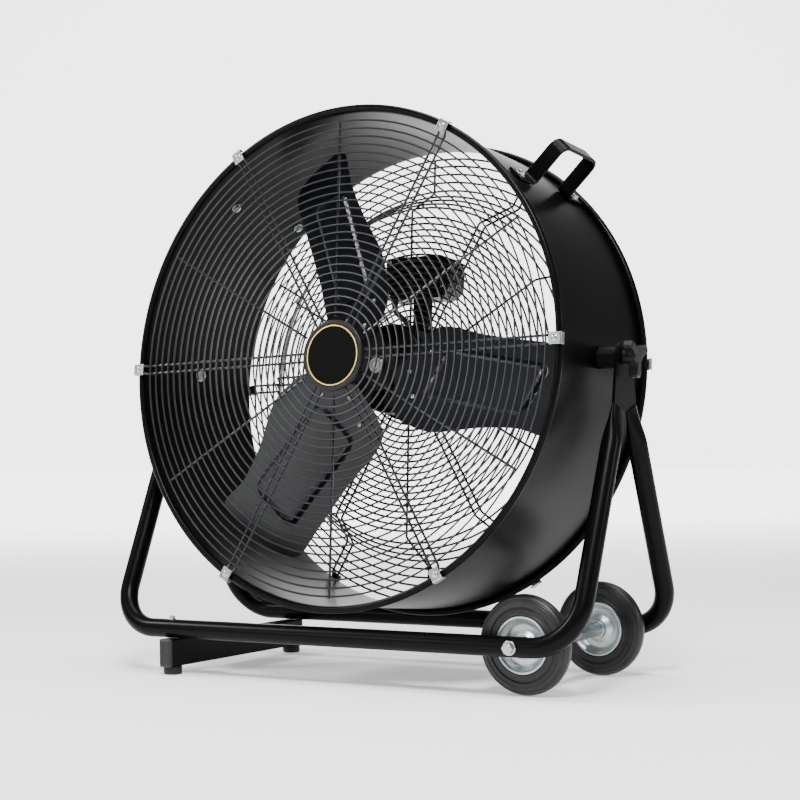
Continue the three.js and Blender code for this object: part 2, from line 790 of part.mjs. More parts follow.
/** One edge of the bent handle strip, offset inwards from its outer face. */
function handleEdge(inset) {
  const low = SHELL_RADIUS + SEAT_GAP + HANDLE_STRIP_THICKNESS - inset;
  const high = SHELL_RADIUS + HANDLE_HEIGHT - inset;
  const half = HANDLE_SPAN / 2 - inset;
  const top = HANDLE_BEND_RADIUS - inset;
  const toe = HANDLE_SPAN / 2 + HANDLE_FOOT_LENGTH;
  const bend = HANDLE_STRIP_THICKNESS + inset;
  const right = [
    ...arc(half - top, high - top, top, 90, 0, 4),
    ...arc(half + bend, low + bend, bend, 180, 270, 2),
    [toe, low],
  ];
  const left = right.map(([y, z]) => [-y, z]).reverse();
  return [...left, ...right];
}

/** A carrying handle: a flat strip bent into a hat shape, drilled at its feet. */
function handle() {
  const outline = [...handleEdge(0), ...handleEdge(HANDLE_STRIP_THICKNESS).reverse()];
  const strip = prism(outline, -HANDLE_STRIP_WIDTH / 2, HANDLE_STRIP_WIDTH / 2);
  strip.rotateY(Math.PI / 2);
  strip.rotateX(Math.PI / 2);
  strip.rotateY(Math.PI / 2);
  strip.rotateX(Math.PI);
  const placed = moved(strip, 0, HANDLE_CENTRE, 0);
  const holes = handleEnds.map((y) => moved(
    alongX(bar(HANDLE_BOLT_RADIUS + SEAT_GAP, SHELL_RADIUS - 5, handleFootTop + 5, 8)),
    0,
    y,
    0,
  ));
  return carve([placed], holes);
}

/** A bolt through a handle's foot and the drum's wall, at one place along Y. */
function handleBolt(y) {
  const seat = handleFootTop + SEAT_GAP;
  const tail = SHELL_RADIUS - SHELL_WALL - HANDLE_BOLT_TAIL;
  const head = hexagon(HANDLE_BOLT_RADIUS * 2, seat, seat + HANDLE_BOLT_HEAD_HEIGHT);
  const shank = bar(HANDLE_BOLT_RADIUS, tail, seat + 1, 8);
  return moved(alongX(carve([head, shank])), 0, y, 0);
}

for (const [name, degrees] of Object.entries(handleAngles)) {
  add(drum, `handle_${name}`, aroundDrum(handle(), degrees), BLACK_PAINT);
  add(drum, `handle_bolt_${name}_front`, aroundDrum(handleBolt(handleEnds[0]), degrees), ZINC);
  add(drum, `handle_bolt_${name}_rear`, aroundDrum(handleBolt(handleEnds[1]), degrees), ZINC);
}

// -------------------------------------------------------------------- guards

/** A guard's profile from its middle to its rim, as [radius, y] corners. */
class GuardProfile {
  constructor(corners, outward) {
    this.corners = corners.map(([r, y]) => new THREE.Vector2(r, y));
    this.outward = outward;
    this.lengths = [0];
    for (let i = 1; i < corners.length; i += 1) {
      this.lengths.push(this.lengths[i - 1] + this.corners[i].distanceTo(this.corners[i - 1]));
    }
  }

  /** The place and the outward direction at a length along the profile. */
  at(length) {
    const last = this.corners.length - 2;
    let i = 0;
    while (i < last && length > this.lengths[i + 1]) i += 1;
    const along = this.corners[i + 1].clone().sub(this.corners[i]).normalize();
    const place = this.corners[i].clone().addScaledVector(along, length - this.lengths[i]);
    const normal = new THREE.Vector2(-along.y, along.x).multiplyScalar(this.outward);
    return { place, along, normal };
  }

  /** The length along the profile at which it first reaches a radius. */
  lengthAt(radius) {
    const i = this.corners.findIndex((corner) => corner.x >= radius);
    if (i === 0) return 0;
    const from = this.corners[i - 1];
    const share = (radius - from.x) / (this.corners[i].x - from.x);
    return this.lengths[i - 1] + share * (this.lengths[i] - this.lengths[i - 1]);
  }
}

/** Sides of a ring, a multiple of twelve so that every spoke meets a flat. */
function ringSides(radius) {
  return radius > guardRim * 2 / 3 ? 36 : 24;
}

/** A ring of three-sided wire, its ridge sunk into the ridges of the spokes. */
function guardRing(profile, length) {
  const { place, along, normal } = profile.at(length);
  const low = WIRE_HEIGHT / 2 - WELD_DEPTH;
  const ridge = place.clone().addScaledVector(normal, low);
  const base = place.clone().addScaledVector(normal, low + WIRE_HEIGHT);
  const inner = base.clone().addScaledVector(along, -WIRE_WIDTH / 2);
  const outer = base.clone().addScaledVector(along, WIRE_WIDTH / 2);
  const sides = ringSides(place.x);
  const overFlats = Math.cos(Math.PI / sides);
  const section = [ridge, inner, outer, ridge].map((corner) => [corner.x / overFlats, corner.y]);
  const ring = turned(section, sides);
  ring.rotateY(Math.PI / sides);
  return ring;
}

/** A three-sided wire through stations; each has a place, a side and a normal. */
function wire(stations) {
  const half = WIRE_WIDTH / 2;
  const high = WIRE_HEIGHT / 2;
  return loft(stations.map(({ place, side, normal }) => [
    place.clone().addScaledVector(side, half).addScaledVector(normal, -high),
    place.clone().addScaledVector(side, -half).addScaledVector(normal, -high),
    place.clone().addScaledVector(normal, high),
  ]));
}

/** Stations of a spoke at a sideways offset, one at each profile corner. */
function spokeStations(profile, offset, fromRadius, toRadius) {
  const start = profile.lengthAt(fromRadius);
  const end = profile.lengthAt(toRadius);
  const inside = profile.lengths.filter((length) => length > start && length < end);
  return [start, ...inside, end].map((length) => {
    const before = profile.at(Math.max(length - 0.01, 0)).normal;
    const after = profile.at(length + 0.01).normal;
    const lean = before.clone().add(after).normalize();
    const { place } = profile.at(length);
    return {
      place: point(place.x, place.y, offset),
      side: point(0, 0, 1),
      normal: point(lean.x, lean.y, 0).divideScalar(lean.dot(before)),
    };
  });
}

/** A double spoke: out, round the clip in a half turn, and back. */
function hairpin(profile, fromRadius, turnRadius) {
  const half = HAIRPIN_SPACING / 2;
  const out = spokeStations(profile, -half, fromRadius, turnRadius);
  const back = spokeStations(profile, half, fromRadius, turnRadius)
    .map((station) => ({ ...station, side: point(0, 0, -1) }))
    .reverse();
  const normal = out.at(-1).normal;
  const y = out.at(-1).place.y;
  const turn = [-60, -30, 0, 30, 60].map((degrees) => {
    const angle = radians(degrees);
    const ray = point(Math.cos(angle), 0, Math.sin(angle));
    return {
      place: ray.clone().multiplyScalar(half).add(point(turnRadius, y, 0)),
      side: point(-ray.x, 0, -ray.z),
      normal,
    };
  });
  return wire([...out, ...turn, ...back]);
}

/** A whole guard: rings, double spokes and the single spokes between them. */
function guard(profile, rings, firstRing, pairStart, singleStart) {
  const start = profile.lengthAt(firstRing);
  const end = profile.lengthAt(guardRim);
  const pitch = (end - start) / (rings - 1);
  const bodies = [];
  for (let i = 0; i < rings; i += 1) bodies.push(guardRing(profile, start + i * pitch));
  for (let i = 0; i < SPOKE_PAIRS; i += 1) {
    const degrees = 360 * i / SPOKE_PAIRS;
    bodies.push(aroundDrum(hairpin(profile, pairStart, beadCentreRadius - 4), degrees));
    const single = wire(spokeStations(profile, 0, singleStart, guardRim + WIRE_WIDTH));
    bodies.push(aroundDrum(single, degrees + 180 / SPOKE_PAIRS));
  }
  return aroundDrum(carve(bodies), GUARD_ROLL);
}

const frontProfile = new GuardProfile([
  [BADGE_RADIUS - 8, -guardPlane],
  [guardRim + 5, -guardPlane],
  [beadCentreRadius - BEAD_RADIUS - 1, -hairpinPlane],
  [beadCentreRadius, -hairpinPlane],
], -1);

const rearProfile = new GuardProfile([
  [MOUNT_BOSS_RADIUS + 4, guardPlane - DISH_DEPTH + WIRE_HEIGHT],
  [DISH_INNER_RADIUS, guardPlane - DISH_DEPTH + WIRE_HEIGHT],
  [DISH_OUTER_RADIUS, guardPlane],
  [guardRim + 5, guardPlane],
  [beadCentreRadius - BEAD_RADIUS - 1, hairpinPlane],
  [beadCentreRadius, hairpinPlane],
], 1);

const frontGuard = guard(
  frontProfile,
  FRONT_RING_COUNT,
  FRONT_RING_INNER,
  BADGE_RADIUS - 6,
  FRONT_RING_INNER - WIRE_WIDTH,
);
const rearGuard = guard(
  rearProfile,
  REAR_RING_COUNT,
  REAR_RING_INNER,
  MOUNT_BOSS_RADIUS + 6,
  MOUNT_BOSS_RADIUS + 10,
);
add(drum, 'front_guard', frontGuard, BLACK_STEEL);
add(drum, 'rear_guard', rearGuard, BLACK_STEEL);

/** A zinc clip: a flat tab over a hairpin and a lip down outside the bead. */
function clip(end) {
  const face = hairpinPlane + WIRE_HEIGHT / 2 + SEAT_GAP;
  const outer = beadRim + SEAT_GAP + CLIP_THICKNESS;
  const outline = [
    [outer - CLIP_LENGTH, face],
    [outer - CLIP_THICKNESS, face],
    [outer - CLIP_THICKNESS, face - CLIP_LIP],
    [outer, face - CLIP_LIP],
    [outer, face + CLIP_THICKNESS - 1],
    [outer - 1, face + CLIP_THICKNESS],
    [outer - CLIP_LENGTH, face + CLIP_THICKNESS],
  ].map(([r, y]) => [r, y * end]);
  return prism(outline, -CLIP_WIDTH / 2, CLIP_WIDTH / 2);
}

for (const [name, end] of [['front', -1], ['rear', 1]]) {
  for (let i = 0; i < SPOKE_PAIRS; i += 1) {
    const place = GUARD_ROLL + 360 * i / SPOKE_PAIRS;
    add(drum, `clip_${name}_${i + 1}`, aroundDrum(clip(end), place), ZINC);
  }
}

// --------------------------------------------------------------------- badge

const badgeBack = guardPlane + WIRE_HEIGHT / 2 + SEAT_GAP;
const badgeFront = badgeBack + BADGE_DEPTH;
const labelSeat = badgeFront - BADGE_LABEL_THICKNESS - SEAT_GAP;

/** The round badge holder, dished to take a flat label. */
function badgeCap() {
  return turned([
    [0, -badgeBack],
    [BADGE_RADIUS, -badgeBack],
    [BADGE_RADIUS, -badgeFront + 1.5],
    [BADGE_RADIUS - 3, -badgeFront],
    [BADGE_LABEL_RADIUS + 2 * SEAT_GAP, -badgeFront],
    [BADGE_LABEL_RADIUS + SEAT_GAP, -labelSeat],
    [0, -labelSeat],
  ], 28);
}

/** The flat round label, left plain. */
function badgeLabel() {
  const back = labelSeat + SEAT_GAP;
  const front = back + BADGE_LABEL_THICKNESS;
  return turned([
    [0, -back],
    [BADGE_LABEL_RADIUS, -back],
    [BADGE_LABEL_RADIUS, -front],
    [0, -front],
  ], 28);
}

add(drum, 'badge_cap', badgeCap(), BLACK_PLASTIC);
add(drum, 'badge_label', badgeLabel(), { color: 0x0b0b0c, roughness: 0.25, metalness: 0.0 });

// ------------------------------------------------------------------ impeller

// Each edge is a row of [distance along the blade, sideways place], as shares
// of the blade's tip radius.
const TRAILING_EDGE = [
  [0.127, -0.03],
  [0.228, -0.205],
  [0.436, -0.245],
  [0.648, -0.191],
  [0.822, -0.168],
  [0.977, -0.185],
  [1, -0.101],
];
const LEADING_EDGE = [
  [0.127, -0.003],
  [0.174, 0.121],
  [0.218, 0.201],
  [0.309, 0.225],
  [0.483, 0.205],
  [0.802, 0.195],
  [0.93, 0.195],
  [0.977, 0.148],
  [1, 0.047],
];
const BLADE_STATIONS_IN = [0.127, 0.174, 0.221, 0.268];
const BLADE_STATIONS_MID = [0.483, 0.648];
const BLADE_STATIONS_OUT = [0.93, 0.977, 1];

const tipShares = (shares) => shares.map((share) => share * bladeTip);
const trailingEdge = TRAILING_EDGE.map(tipShares);
const leadingEdge = LEADING_EDGE.map(tipShares);

/** The sideways place of an edge at a distance along the blade. */
function edgeAt(edge, distance) {
  const i = Math.max(edge.findIndex(([along]) => along >= distance), 1);
  const [fromAlong, from] = edge[i - 1];
  const [toAlong, to] = edge[i];
  return from + (to - from) * (distance - fromAlong) / (toAlong - fromAlong);
}

/** The front of the pitched, cambered sheet at a sideways place. */
function sheetFace(side) {
  const camber = BLADE_CAMBER * (1 - (side / BLADE_HALF_CHORD) ** 2);
  return bladePlane + Math.tan(radians(BLADE_PITCH)) * side + camber;
}

/** How wide the raised panel is at a distance along the blade; its ends are round. */
function panelHalfWidth(distance) {
  const corner = PANEL_CORNER;
  const intoPanel = Math.min(distance - PANEL_START, PANEL_END - distance);
  const short = Math.max(corner - intoPanel, 0);
  return PANEL_HALF_WIDTH - corner + Math.sqrt(corner ** 2 - Math.min(short, corner) ** 2);
}

/** One pressed blade with a raised panel, lying along +X. */
function blade() {
  const stations = [
    ...tipShares(BLADE_STATIONS_IN),
    PANEL_START,
    PANEL_START + PANEL_RAMP,
    PANEL_START + PANEL_CORNER,
    ...tipShares(BLADE_STATIONS_MID),
    PANEL_END - PANEL_CORNER,
    PANEL_END - PANEL_RAMP,
    PANEL_END,
    ...tipShares(BLADE_STATIONS_OUT),
  ];
  const sections = stations.map((along) => {
    const low = edgeAt(trailingEdge, along);
    const high = edgeAt(leadingEdge, along);
    const half = panelHalfWidth(along);
    const raised = along > PANEL_START && along < PANEL_END;
    const rise = raised ? PANEL_RISE : 0;
    const wanted = [
      [low, 0],
      [PANEL_OFFSET - half - PANEL_RAMP, 0],
      [PANEL_OFFSET - half, rise],
      [PANEL_OFFSET, rise],
      [PANEL_OFFSET + half, rise],
      [PANEL_OFFSET + half + PANEL_RAMP, 0],
      [high, 0],
    ];
    const front = wanted.map(([side, lift], i) => {
      const room = 0.6;
      const floor = low + i * room;
      const ceiling = high - (wanted.length - 1 - i) * room;
      const place = Math.max(floor, Math.min(side, ceiling));
      return point(along, sheetFace(place) - lift, place);
    });
    const back = front.map((corner) => corner.clone().add(point(0, BLADE_THICKNESS, 0)));
    return [...front, ...back.reverse()];
  });
  return loft(sections);
}

/** One arm of the hub, twisted from the flat disc to the blade's pitch. */
function hubArm() {
  const places = [-1, -0.5, 0, 0.5, 1];
  const root = places.map((share) => point(HUB_RADIUS / 2, hubFace, share * HUB_RADIUS / 2));
  const seat = BLADE_THICKNESS + SEAT_GAP;
  const onBlade = (along, half) => places.map((share) => {
    const side = share * half;
    return point(along, sheetFace(side) + seat, side);
  });
  const section = (front, thickness) => {
    const back = front.map((corner) => corner.clone().add(point(0, thickness, 0)));
    return [...front, ...back.reverse()];
  };
  const neck = HUB_RADIUS + HUB_NECK;
  return loft([
    section(root, HUB_THICKNESS),
    section(onBlade(neck, HUB_ARM_HALF_WIDTH * 0.8), HUB_ARM_THICKNESS),
    section(onBlade(HUB_ARM_END, HUB_ARM_HALF_WIDTH), HUB_ARM_THICKNESS),
  ]);
}

const bladeAngles = Array.from(
  { length: BLADE_COUNT },
  (unused, i) => BLADE_ANGLE + 360 * i / BLADE_COUNT,
);

/** The hub: a thick disc on the shaft with an arm behind each blade. */
function hub() {
  const disc = alongY(bar(HUB_RADIUS, hubFace, hubFace + HUB_THICKNESS, 24));
  const arms = bladeAngles.map((angle) => aroundDrum(hubArm(), angle));
  const bore = alongY(bar(SHAFT_RADIUS + SEAT_GAP, hubFace - HUB_THICKNESS, hubFace + 3 * HUB_THICKNESS, 12));
  return carve([disc, ...arms], [bore]);
}

const bossBack = hubFace - SEAT_GAP;

/** The turned shaft: a chamfered collar before the hub, a tail into the motor. */
function shaft() {
  const front = bossBack - BOSS_LENGTH;
  const tip = motorFront + MOTOR_BORE_DEPTH - SEAT_GAP;
  return turned([
    [0, front],
    [BOSS_RADIUS - 1, front],
    [BOSS_RADIUS, front + 1],
    [BOSS_RADIUS, bossBack],
    [SHAFT_RADIUS, bossBack],
    [SHAFT_RADIUS, tip],
    [0, tip],
  ], 16);
}

bladeAngles.forEach((angle, i) => {
  add(impeller, `blade_${i + 1}`, aroundDrum(blade(), angle), BLADE_GREY);
});
add(impeller, 'impeller_hub', hub(), BLACK_STEEL);
add(impeller, 'motor_shaft', shaft(), ZINC);

// --------------------------------------------------------------------- motor

/** The motor: a domed front bell, a plain body and a flat back, bored in front. */
function motor() {
  const bore = SHAFT_RADIUS + SEAT_GAP;
  const corner = MOTOR_SHOULDER;
  return turned([
    [0, motorFront + MOTOR_BORE_DEPTH],
    [bore, motorFront + MOTOR_BORE_DEPTH],
    [bore, motorFront],
    [14, motorFront],
    [18, motorFront + 4],
    [MOTOR_RADIUS * 0.66, motorFront + 8],
    ...arc(MOTOR_RADIUS - corner, motorFront + 10 + corner, corner, -60, 0, 2),
    [MOTOR_RADIUS, motorBack - 4],
    [MOTOR_RADIUS - 4, motorBack],
    [0, motorBack],
  ], 24);
}

/** The mounting disc behind the motor, with a round boss for the post's foot. */
function mountDisc() {
  const bossEnd = postFace + 1;
  return turned([
    [0, mountFront],
    [MOUNT_RADIUS, mountFront],
    [MOUNT_RADIUS, mountFace - SEAT_GAP],
    [MOUNT_BOSS_RADIUS, mountFace - SEAT_GAP],
    [MOUNT_BOSS_RADIUS, bossEnd],
    [0, bossEnd],
  ], 24);
}

/** The post: a strap with a round foot on the mount, up to the control box. */
function post() {
  const half = POST_WIDTH / 2;
  const top = BOX_BOTTOM - SEAT_GAP;
  const widest = Math.sqrt(MOUNT_BOSS_RADIUS ** 2 - half ** 2);
  const reach = THREE.MathUtils.radToDeg(Math.atan2(widest, half));
  const foot = arc(0, 0, MOUNT_BOSS_RADIUS, 180 - reach, 360 + reach, 10);
  const outline = [[half, top], [-half, top], ...foot];
  const body = prism(outline, 0, POST_DEPTH);
  body.rotateX(Math.PI / 2);
  return moved(body, 0, postFace + POST_DEPTH, 0);
}

const boxTop = BOX_BOTTOM + BOX_HEIGHT;

/** The control box's outline in X and Z: square at the left, round at the right. */
function boxOutline() {
  const nose = BOX_NOSE_RADIUS;
  const small = 3;
  return [
    ...arc(BOX_RIGHT - nose, BOX_BOTTOM + nose, nose, -90, 0, 5),
    ...arc(BOX_RIGHT - nose, boxTop - nose, nose, 0, 90, 5),
    [BOX_LEFT + small, boxTop],
    [BOX_LEFT, boxTop - small],
    [BOX_LEFT, BOX_BOTTOM + small],
    [BOX_LEFT + small, BOX_BOTTOM],
  ];
}

/** A slice of the control box between two places along Y. */
function boxSlice(from, to, bevel) {
  const body = prism(boxOutline(), 0, to - from, bevel);
  body.rotateX(Math.PI / 2);
  return moved(body, 0, to, 0);
}

const coverBack = postFace + BOX_COVER_THICKNESS;
const boxBack = postFace + BOX_DEPTH;
const leadX = BOX_LEFT + 9;
const leadY = postFace + 12;

/** A gland: a hexagon at its seat and a round sleeve beyond it, along +Z. */
function gland(radius, length) {
  const nut = hexagon(radius, 0, length * 0.4);
  const neck = bar(radius * 0.72, length * 0.4 - 1, length, 12);
  return carve([nut, neck]);
}

/** The box behind its cover, with the motor lead's gland moulded underneath. */
function controlBox() {
  const shell = boxSlice(coverBack + SEAT_GAP, boxBack, 1);
  const outlet = gland(LEAD_RADIUS + 2.5, LEAD_GLAND_LENGTH + 1);
  outlet.rotateX(Math.PI);
  return carve([shell, moved(outlet, leadX, leadY, BOX_BOTTOM + 1)]);
}

add(drum, 'motor_body', motor(), BLACK_PAINT);
add(drum, 'motor_mount', carve([mountDisc(), post()]), BLACK_PAINT);
add(drum, 'box_cover', boxSlice(postFace, coverBack, 1), BLACK_PLASTIC);
add(drum, 'control_box', controlBox(), BLACK_PLASTIC);

/** The motor lead: from under the box, past the post, to the motor's mount. */
function motorLead() {
  const top = BOX_BOTTOM - LEAD_GLAND_LENGTH - SEAT_GAP;
  const beside = -POST_WIDTH / 2 - LEAD_RADIUS - 2;
  const route = new THREE.CatmullRomCurve3([
    point(leadX, leadY, top - 4),
    point(leadX + 4, leadY - 1, top - 9),
    point(beside - 4, leadY - 5, top - 22),
    point(beside - 1, leadY - 9, top - 38),
    point(beside - 6, mountFace + 16, top - 54),
    point(-36, mountFace + 9, 35),
    point(-37, mountFace + 5, 34),
  ]);
  const start = point(leadX, leadY, top);
  const end = point(-37, mountFace, 34);
  return rod(LEAD_RADIUS, [start, ...route.getSpacedPoints(11), end], 8);
}

add(drum, 'motor_lead', motorLead(), BLACK_RUBBER);

const cordGland = alongY(gland(GLAND_RADIUS, GLAND_LENGTH));
add(drum, 'cord_gland', moved(cordGland, 22, boxBack + SEAT_GAP, BOX_BOTTOM + 16), BLACK_PLASTIC);

/** The speed knob: a round skirt with a raised grip bar across it, along +Z. */
function speedKnob() {
  const skirt = bar(SPEED_KNOB_RADIUS, 0, SPEED_KNOB_LENGTH * 0.4, 20);
  const grip = new THREE.BoxGeometry(7, SPEED_KNOB_RADIUS * 1.8, SPEED_KNOB_LENGTH);
  grip.translate(0, 0, SPEED_KNOB_LENGTH / 2);
  return carve([skirt, grip]);
}

const speedKnobAt = point(-16, boxBack + SEAT_GAP, (BOX_BOTTOM + boxTop) / 2);
const speedKnobBody = alongY(speedKnob());
add(drum, 'speed_knob', moved(speedKnobBody, ...speedKnobAt), BLACK_PLASTIC);

export default fan;
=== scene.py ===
"""Looks of a portable drum fan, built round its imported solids.

The stand is described in millimetres in the row frame. The drum is described
in millimetres in a frame of its own, tilted about the pivot axis.
"""

from __future__ import annotations

import logging
import math
from collections.abc import Callable, Sequence
from dataclasses import dataclass, field
from enum import Enum
from typing import Any
import bmesh
import bpy
from mathutils import Matrix, Vector


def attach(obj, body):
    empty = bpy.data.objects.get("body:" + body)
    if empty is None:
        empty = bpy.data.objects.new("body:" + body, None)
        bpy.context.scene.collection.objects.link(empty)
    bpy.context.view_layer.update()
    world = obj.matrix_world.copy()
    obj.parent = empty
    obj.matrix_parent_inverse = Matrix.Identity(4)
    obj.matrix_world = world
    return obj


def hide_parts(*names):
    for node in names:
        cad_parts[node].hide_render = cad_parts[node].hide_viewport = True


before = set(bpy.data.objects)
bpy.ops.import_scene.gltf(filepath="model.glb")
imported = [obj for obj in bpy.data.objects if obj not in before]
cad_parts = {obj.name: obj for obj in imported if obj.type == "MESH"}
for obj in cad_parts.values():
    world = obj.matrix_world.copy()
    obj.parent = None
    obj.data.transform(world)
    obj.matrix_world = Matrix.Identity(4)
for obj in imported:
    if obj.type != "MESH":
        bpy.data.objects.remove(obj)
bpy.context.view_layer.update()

LOG = logging.getLogger("drum_fan")
MM = 0.001
PIVOT_HEIGHT = 407.4
DRUM_TILT = 5.8
ENDS = {"front": -1, "rear": 1}
SMOOTH_ANGLE = 38.0
BEVEL_ANGLE = 32.0
BEVEL_SEGMENTS = 3
SCREW_BEVEL = 0.35
MERGE_DISTANCE = 0.001
Outline = list[tuple[float, float]]
Points = tuple[tuple[float, float], ...]
Triple = tuple[float, float, float]


def planted(
    tree: bpy.types.NodeTree, kind: str, settings: dict[str, Any], values: dict[Any, Any]
) -> bpy.types.Node:
    """Add a node to a tree.

    Args:
        tree: The tree.
        kind: The node's type.
        settings: Properties that are set first.
        values: Numbers, colours or sockets for its inputs.

    Returns:
        The new node.
    """
    raw = tree.nodes.new(kind)
    for key, value in settings.items():
        setattr(raw, key, value)
    for key, value in values.items():
        if isinstance(value, bpy.types.NodeSocket):
            tree.links.new(value, raw.inputs[key])
        else:
            raw.inputs[key].default_value = value
    return raw


# ------------------------------------------------------------------ shaders


class Signal:
    """A shader value; arithmetic on it adds Math nodes to its tree."""

    def __init__(self, shader: "Shader", socket: bpy.types.NodeSocket) -> None:
        """Keep the tree and the socket that the value comes from."""
        self.shader = shader
        self.socket = socket

    def _math(self, operation: str, *terms: Any) -> "Signal":
        """Add one Math node.

        Args:
            operation: The Math node's operation.
            terms: Its inputs, as signals or numbers.

        Returns:
            The node's result.
        """
        values = dict(enumerate(terms))
        return self.shader.node("ShaderNodeMath", {"operation": operation}, values)

    def __add__(self, other: Any) -> "Signal":
        """Sum."""
        return self._math("ADD", self, other)

    __radd__ = __add__

    def __mul__(self, other: Any) -> "Signal":
        """Product."""
        return self._math("MULTIPLY", self, other)

    def __sub__(self, other: Any) -> "Signal":
        """Difference."""
        return self._math("SUBTRACT", self, other)

    def wave(self) -> "Signal":
        """Sine of the value."""
        return self._math("SINE", self)

    def ramp(self, low: float, high: float) -> "Signal":
        """Smooth step from 0 to 1.

        Args:
            low: The value that gives 0.
            high: The value that gives 1.

        Returns:
            The stepped value.
        """
        settings = {"interpolation_type": "SMOOTHSTEP"}
        values = {"Value": self, "From Min": low, "From Max": high}
        return self.shader.node("ShaderNodeMapRange", settings, values)


class Shader:
    """One procedural material under construction."""

    def __init__(self, name: str) -> None:
        """Start a material with an empty tree."""
        self.material = bpy.data.materials.new(name)
        self.material.use_nodes = True
        self.tree = self.material.node_tree
        self.tree.nodes.clear()
        self.place = self.node("ShaderNodeTexCoord", {}, {}, "Object")

    def node(
        self, kind: str, settings: dict[str, Any], values: dict[Any, Any], output: Any = 0
    ) -> Signal:
        """Add any node.

        Args:
            kind: The node's type.
            settings: Properties that are set first.
            values: Numbers, colours or signals for its inputs.
            output: The output that is wanted, by name or place.

        Returns:
            That output.
        """
        plain = {k: v.socket if isinstance(v, Signal) else v for k, v in values.items()}
        return Signal(self, planted(self.tree, kind, settings, plain).outputs[output])

    def noise(self, scale: float, detail: float = 2.0) -> Signal:
        """Noise over the piece.

        Args:
            scale: Features per metre.
            detail: Octaves.

        Returns:
            The noise, about 0.5 on average.
        """
        values = {"Vector": self.place, "Scale": scale, "Detail": detail}
        return self.node("ShaderNodeTexNoise", {}, values)

    def cells(self, scale: float) -> Signal:
        """Distance to the nearest of many scattered points."""
        values = {"Vector": self.place, "Scale": scale}
        return self.node("ShaderNodeTexVoronoi", {}, values, "Distance")

    def mix(self, share: Signal, low: Sequence[float], high: Sequence[float]) -> Signal:
        """Mix of two colours.

        Args:
            share: 0 for the first colour, 1 for the second.
            low: The first colour.
            high: The second colour.

        Returns:
            The mixed colour.
        """
        values = {0: share, 6: (*low, 1.0), 7: (*high, 1.0)}
        return self.node("ShaderNodeMix", {"data_type": "RGBA"}, values, 2)

    def radius(self, centre: Triple) -> Signal:
        """Distance, in metres, from the line along Y through a point."""
        vector, along = "ShaderNodeVectorMath", (0.0, 1.0, 0.0)
        arm = self.node(vector, {"operation": "SUBTRACT"}, {0: self.place, 1: centre})
        cross = self.node(vector, {"operation": "CROSS_PRODUCT"}, {0: arm, 1: along})
        return self.node(vector, {"operation": "LENGTH"}, {0: cross}, "Value")

    def close(self, height: Signal, depth: float, values: dict[str, Any]) -> bpy.types.Material:
        """Finish the tree with a bumped surface.

        Args:
            height: The bump's height, from 0 to 1.
            depth: The bump's depth in metres.
            values: Inputs of the surface shader.

        Returns:
            The finished material.
        """
        bump = self.node("ShaderNodeBump", {}, {"Distance": depth, "Height": height}, "Normal")
        surface = self.node("ShaderNodeBsdfPrincipled", {}, {**values, "Normal": bump})
        planted(self.tree, "ShaderNodeOutputMaterial", {}, {"Surface": surface.socket})
        return self.material


class Grain(Enum):
    """The fine relief of a surface."""

    SPRAYED = "sprayed"
    MOULDED = "moulded"
    ROLLED = "rolled"


@dataclass(frozen=True)
class Finish:
    """What a surface is coated with."""

    name: str

    def material(self) -> bpy.types.Material:
        """Build the procedural material, or fetch it if it is there already."""
        return bpy.data.materials.get(self.name) or self.mixed(Shader(self.name))

    def mixed(self, shader: Shader) -> bpy.types.Material:
        """Fill an empty tree with this finish.

        Args:
            shader: The material under construction.

        Returns:
            The finished material.
        """
        raise NotImplementedError


@dataclass(frozen=True)
class Coating(Finish):
    """Paint, plastic or rubber: dark, slightly uneven and finely grained."""

    colour: Triple
    dust: Triple
    roughness: float
    spread: float
    metallic: float
    specular: float
    grain: Grain
    grain_scale: float
    grain_depth: float
    cloud_scale: float = 9.0
    cloud_share: float = 0.6
    speck_scale: float = 310.0
    speck_rough: float = 0.08

    def relief(self, shader: Shader) -> Signal:
        """The grain's height over the surface."""
        if self.grain is Grain.MOULDED:
            return shader.cells(self.grain_scale)
        return shader.noise(self.grain_scale, 5.0 if self.grain is Grain.ROLLED else 1.0)

    def mixed(self, shader: Shader) -> bpy.types.Material:
        """Fill the tree with soft clouds, specks of dust and the grain."""
        cloud = shader.noise(self.cloud_scale, 4.0)
        specks = shader.noise(self.speck_scale, 2.0).ramp(0.62, 0.8)
        shade = cloud.ramp(0.35, 0.8) * self.cloud_share + specks * (1 - self.cloud_share)
        rough = self.roughness + (cloud - 0.5) * self.spread + specks * self.speck_rough
        return shader.close(self.relief(shader), self.grain_depth, {
            "Base Color": shader.mix(shade, self.colour, self.dust),
            "Roughness": rough,
            "Metallic": self.metallic,
            "Specular IOR Level": self.specular,
        })


@dataclass(frozen=True)
class Plating(Finish):
    """Zinc plating with faint warm and cold clouds, and turning marks about a centre."""

    cold: Triple = (0.38, 0.42, 0.46)
    warm: Triple = (0.48, 0.48, 0.45)
    roughness: float = 0.3
    centre: Triple = (0.0, 0.0, 0.0)
    turning: float = 0.0
    cloud_scale: float = 60.0
    cloud_rough: float = 0.22
    stain_scale: float = 22.0
    stain_rough: float = 0.12
    mark_scale: float = 900.0
    mark_depth: float = 0.00004
    turned_share: float = 0.35

    def mixed(self, shader: Shader) -> bpy.types.Material:
        """Fill the tree with clouds, stains and fine marks."""
        cloud = shader.noise(self.cloud_scale, 4.0)
        stain = shader.noise(self.stain_scale, 5.0).ramp(0.55, 0.75)
        marks = shader.noise(self.mark_scale, 3.0)
        if self.turning:
            rings = (shader.radius(self.centre) * self.turning).wave()
            marks = rings * self.turned_share + marks
        rough = self.roughness + (cloud - 0.5) * self.cloud_rough + stain * self.stain_rough
        return shader.close(marks, self.mark_depth, {
            "Base Color": shader.mix(cloud.ramp(0.3, 0.7), self.cold, self.warm),
            "Roughness": rough,
            "Metallic": 1.0,
        })


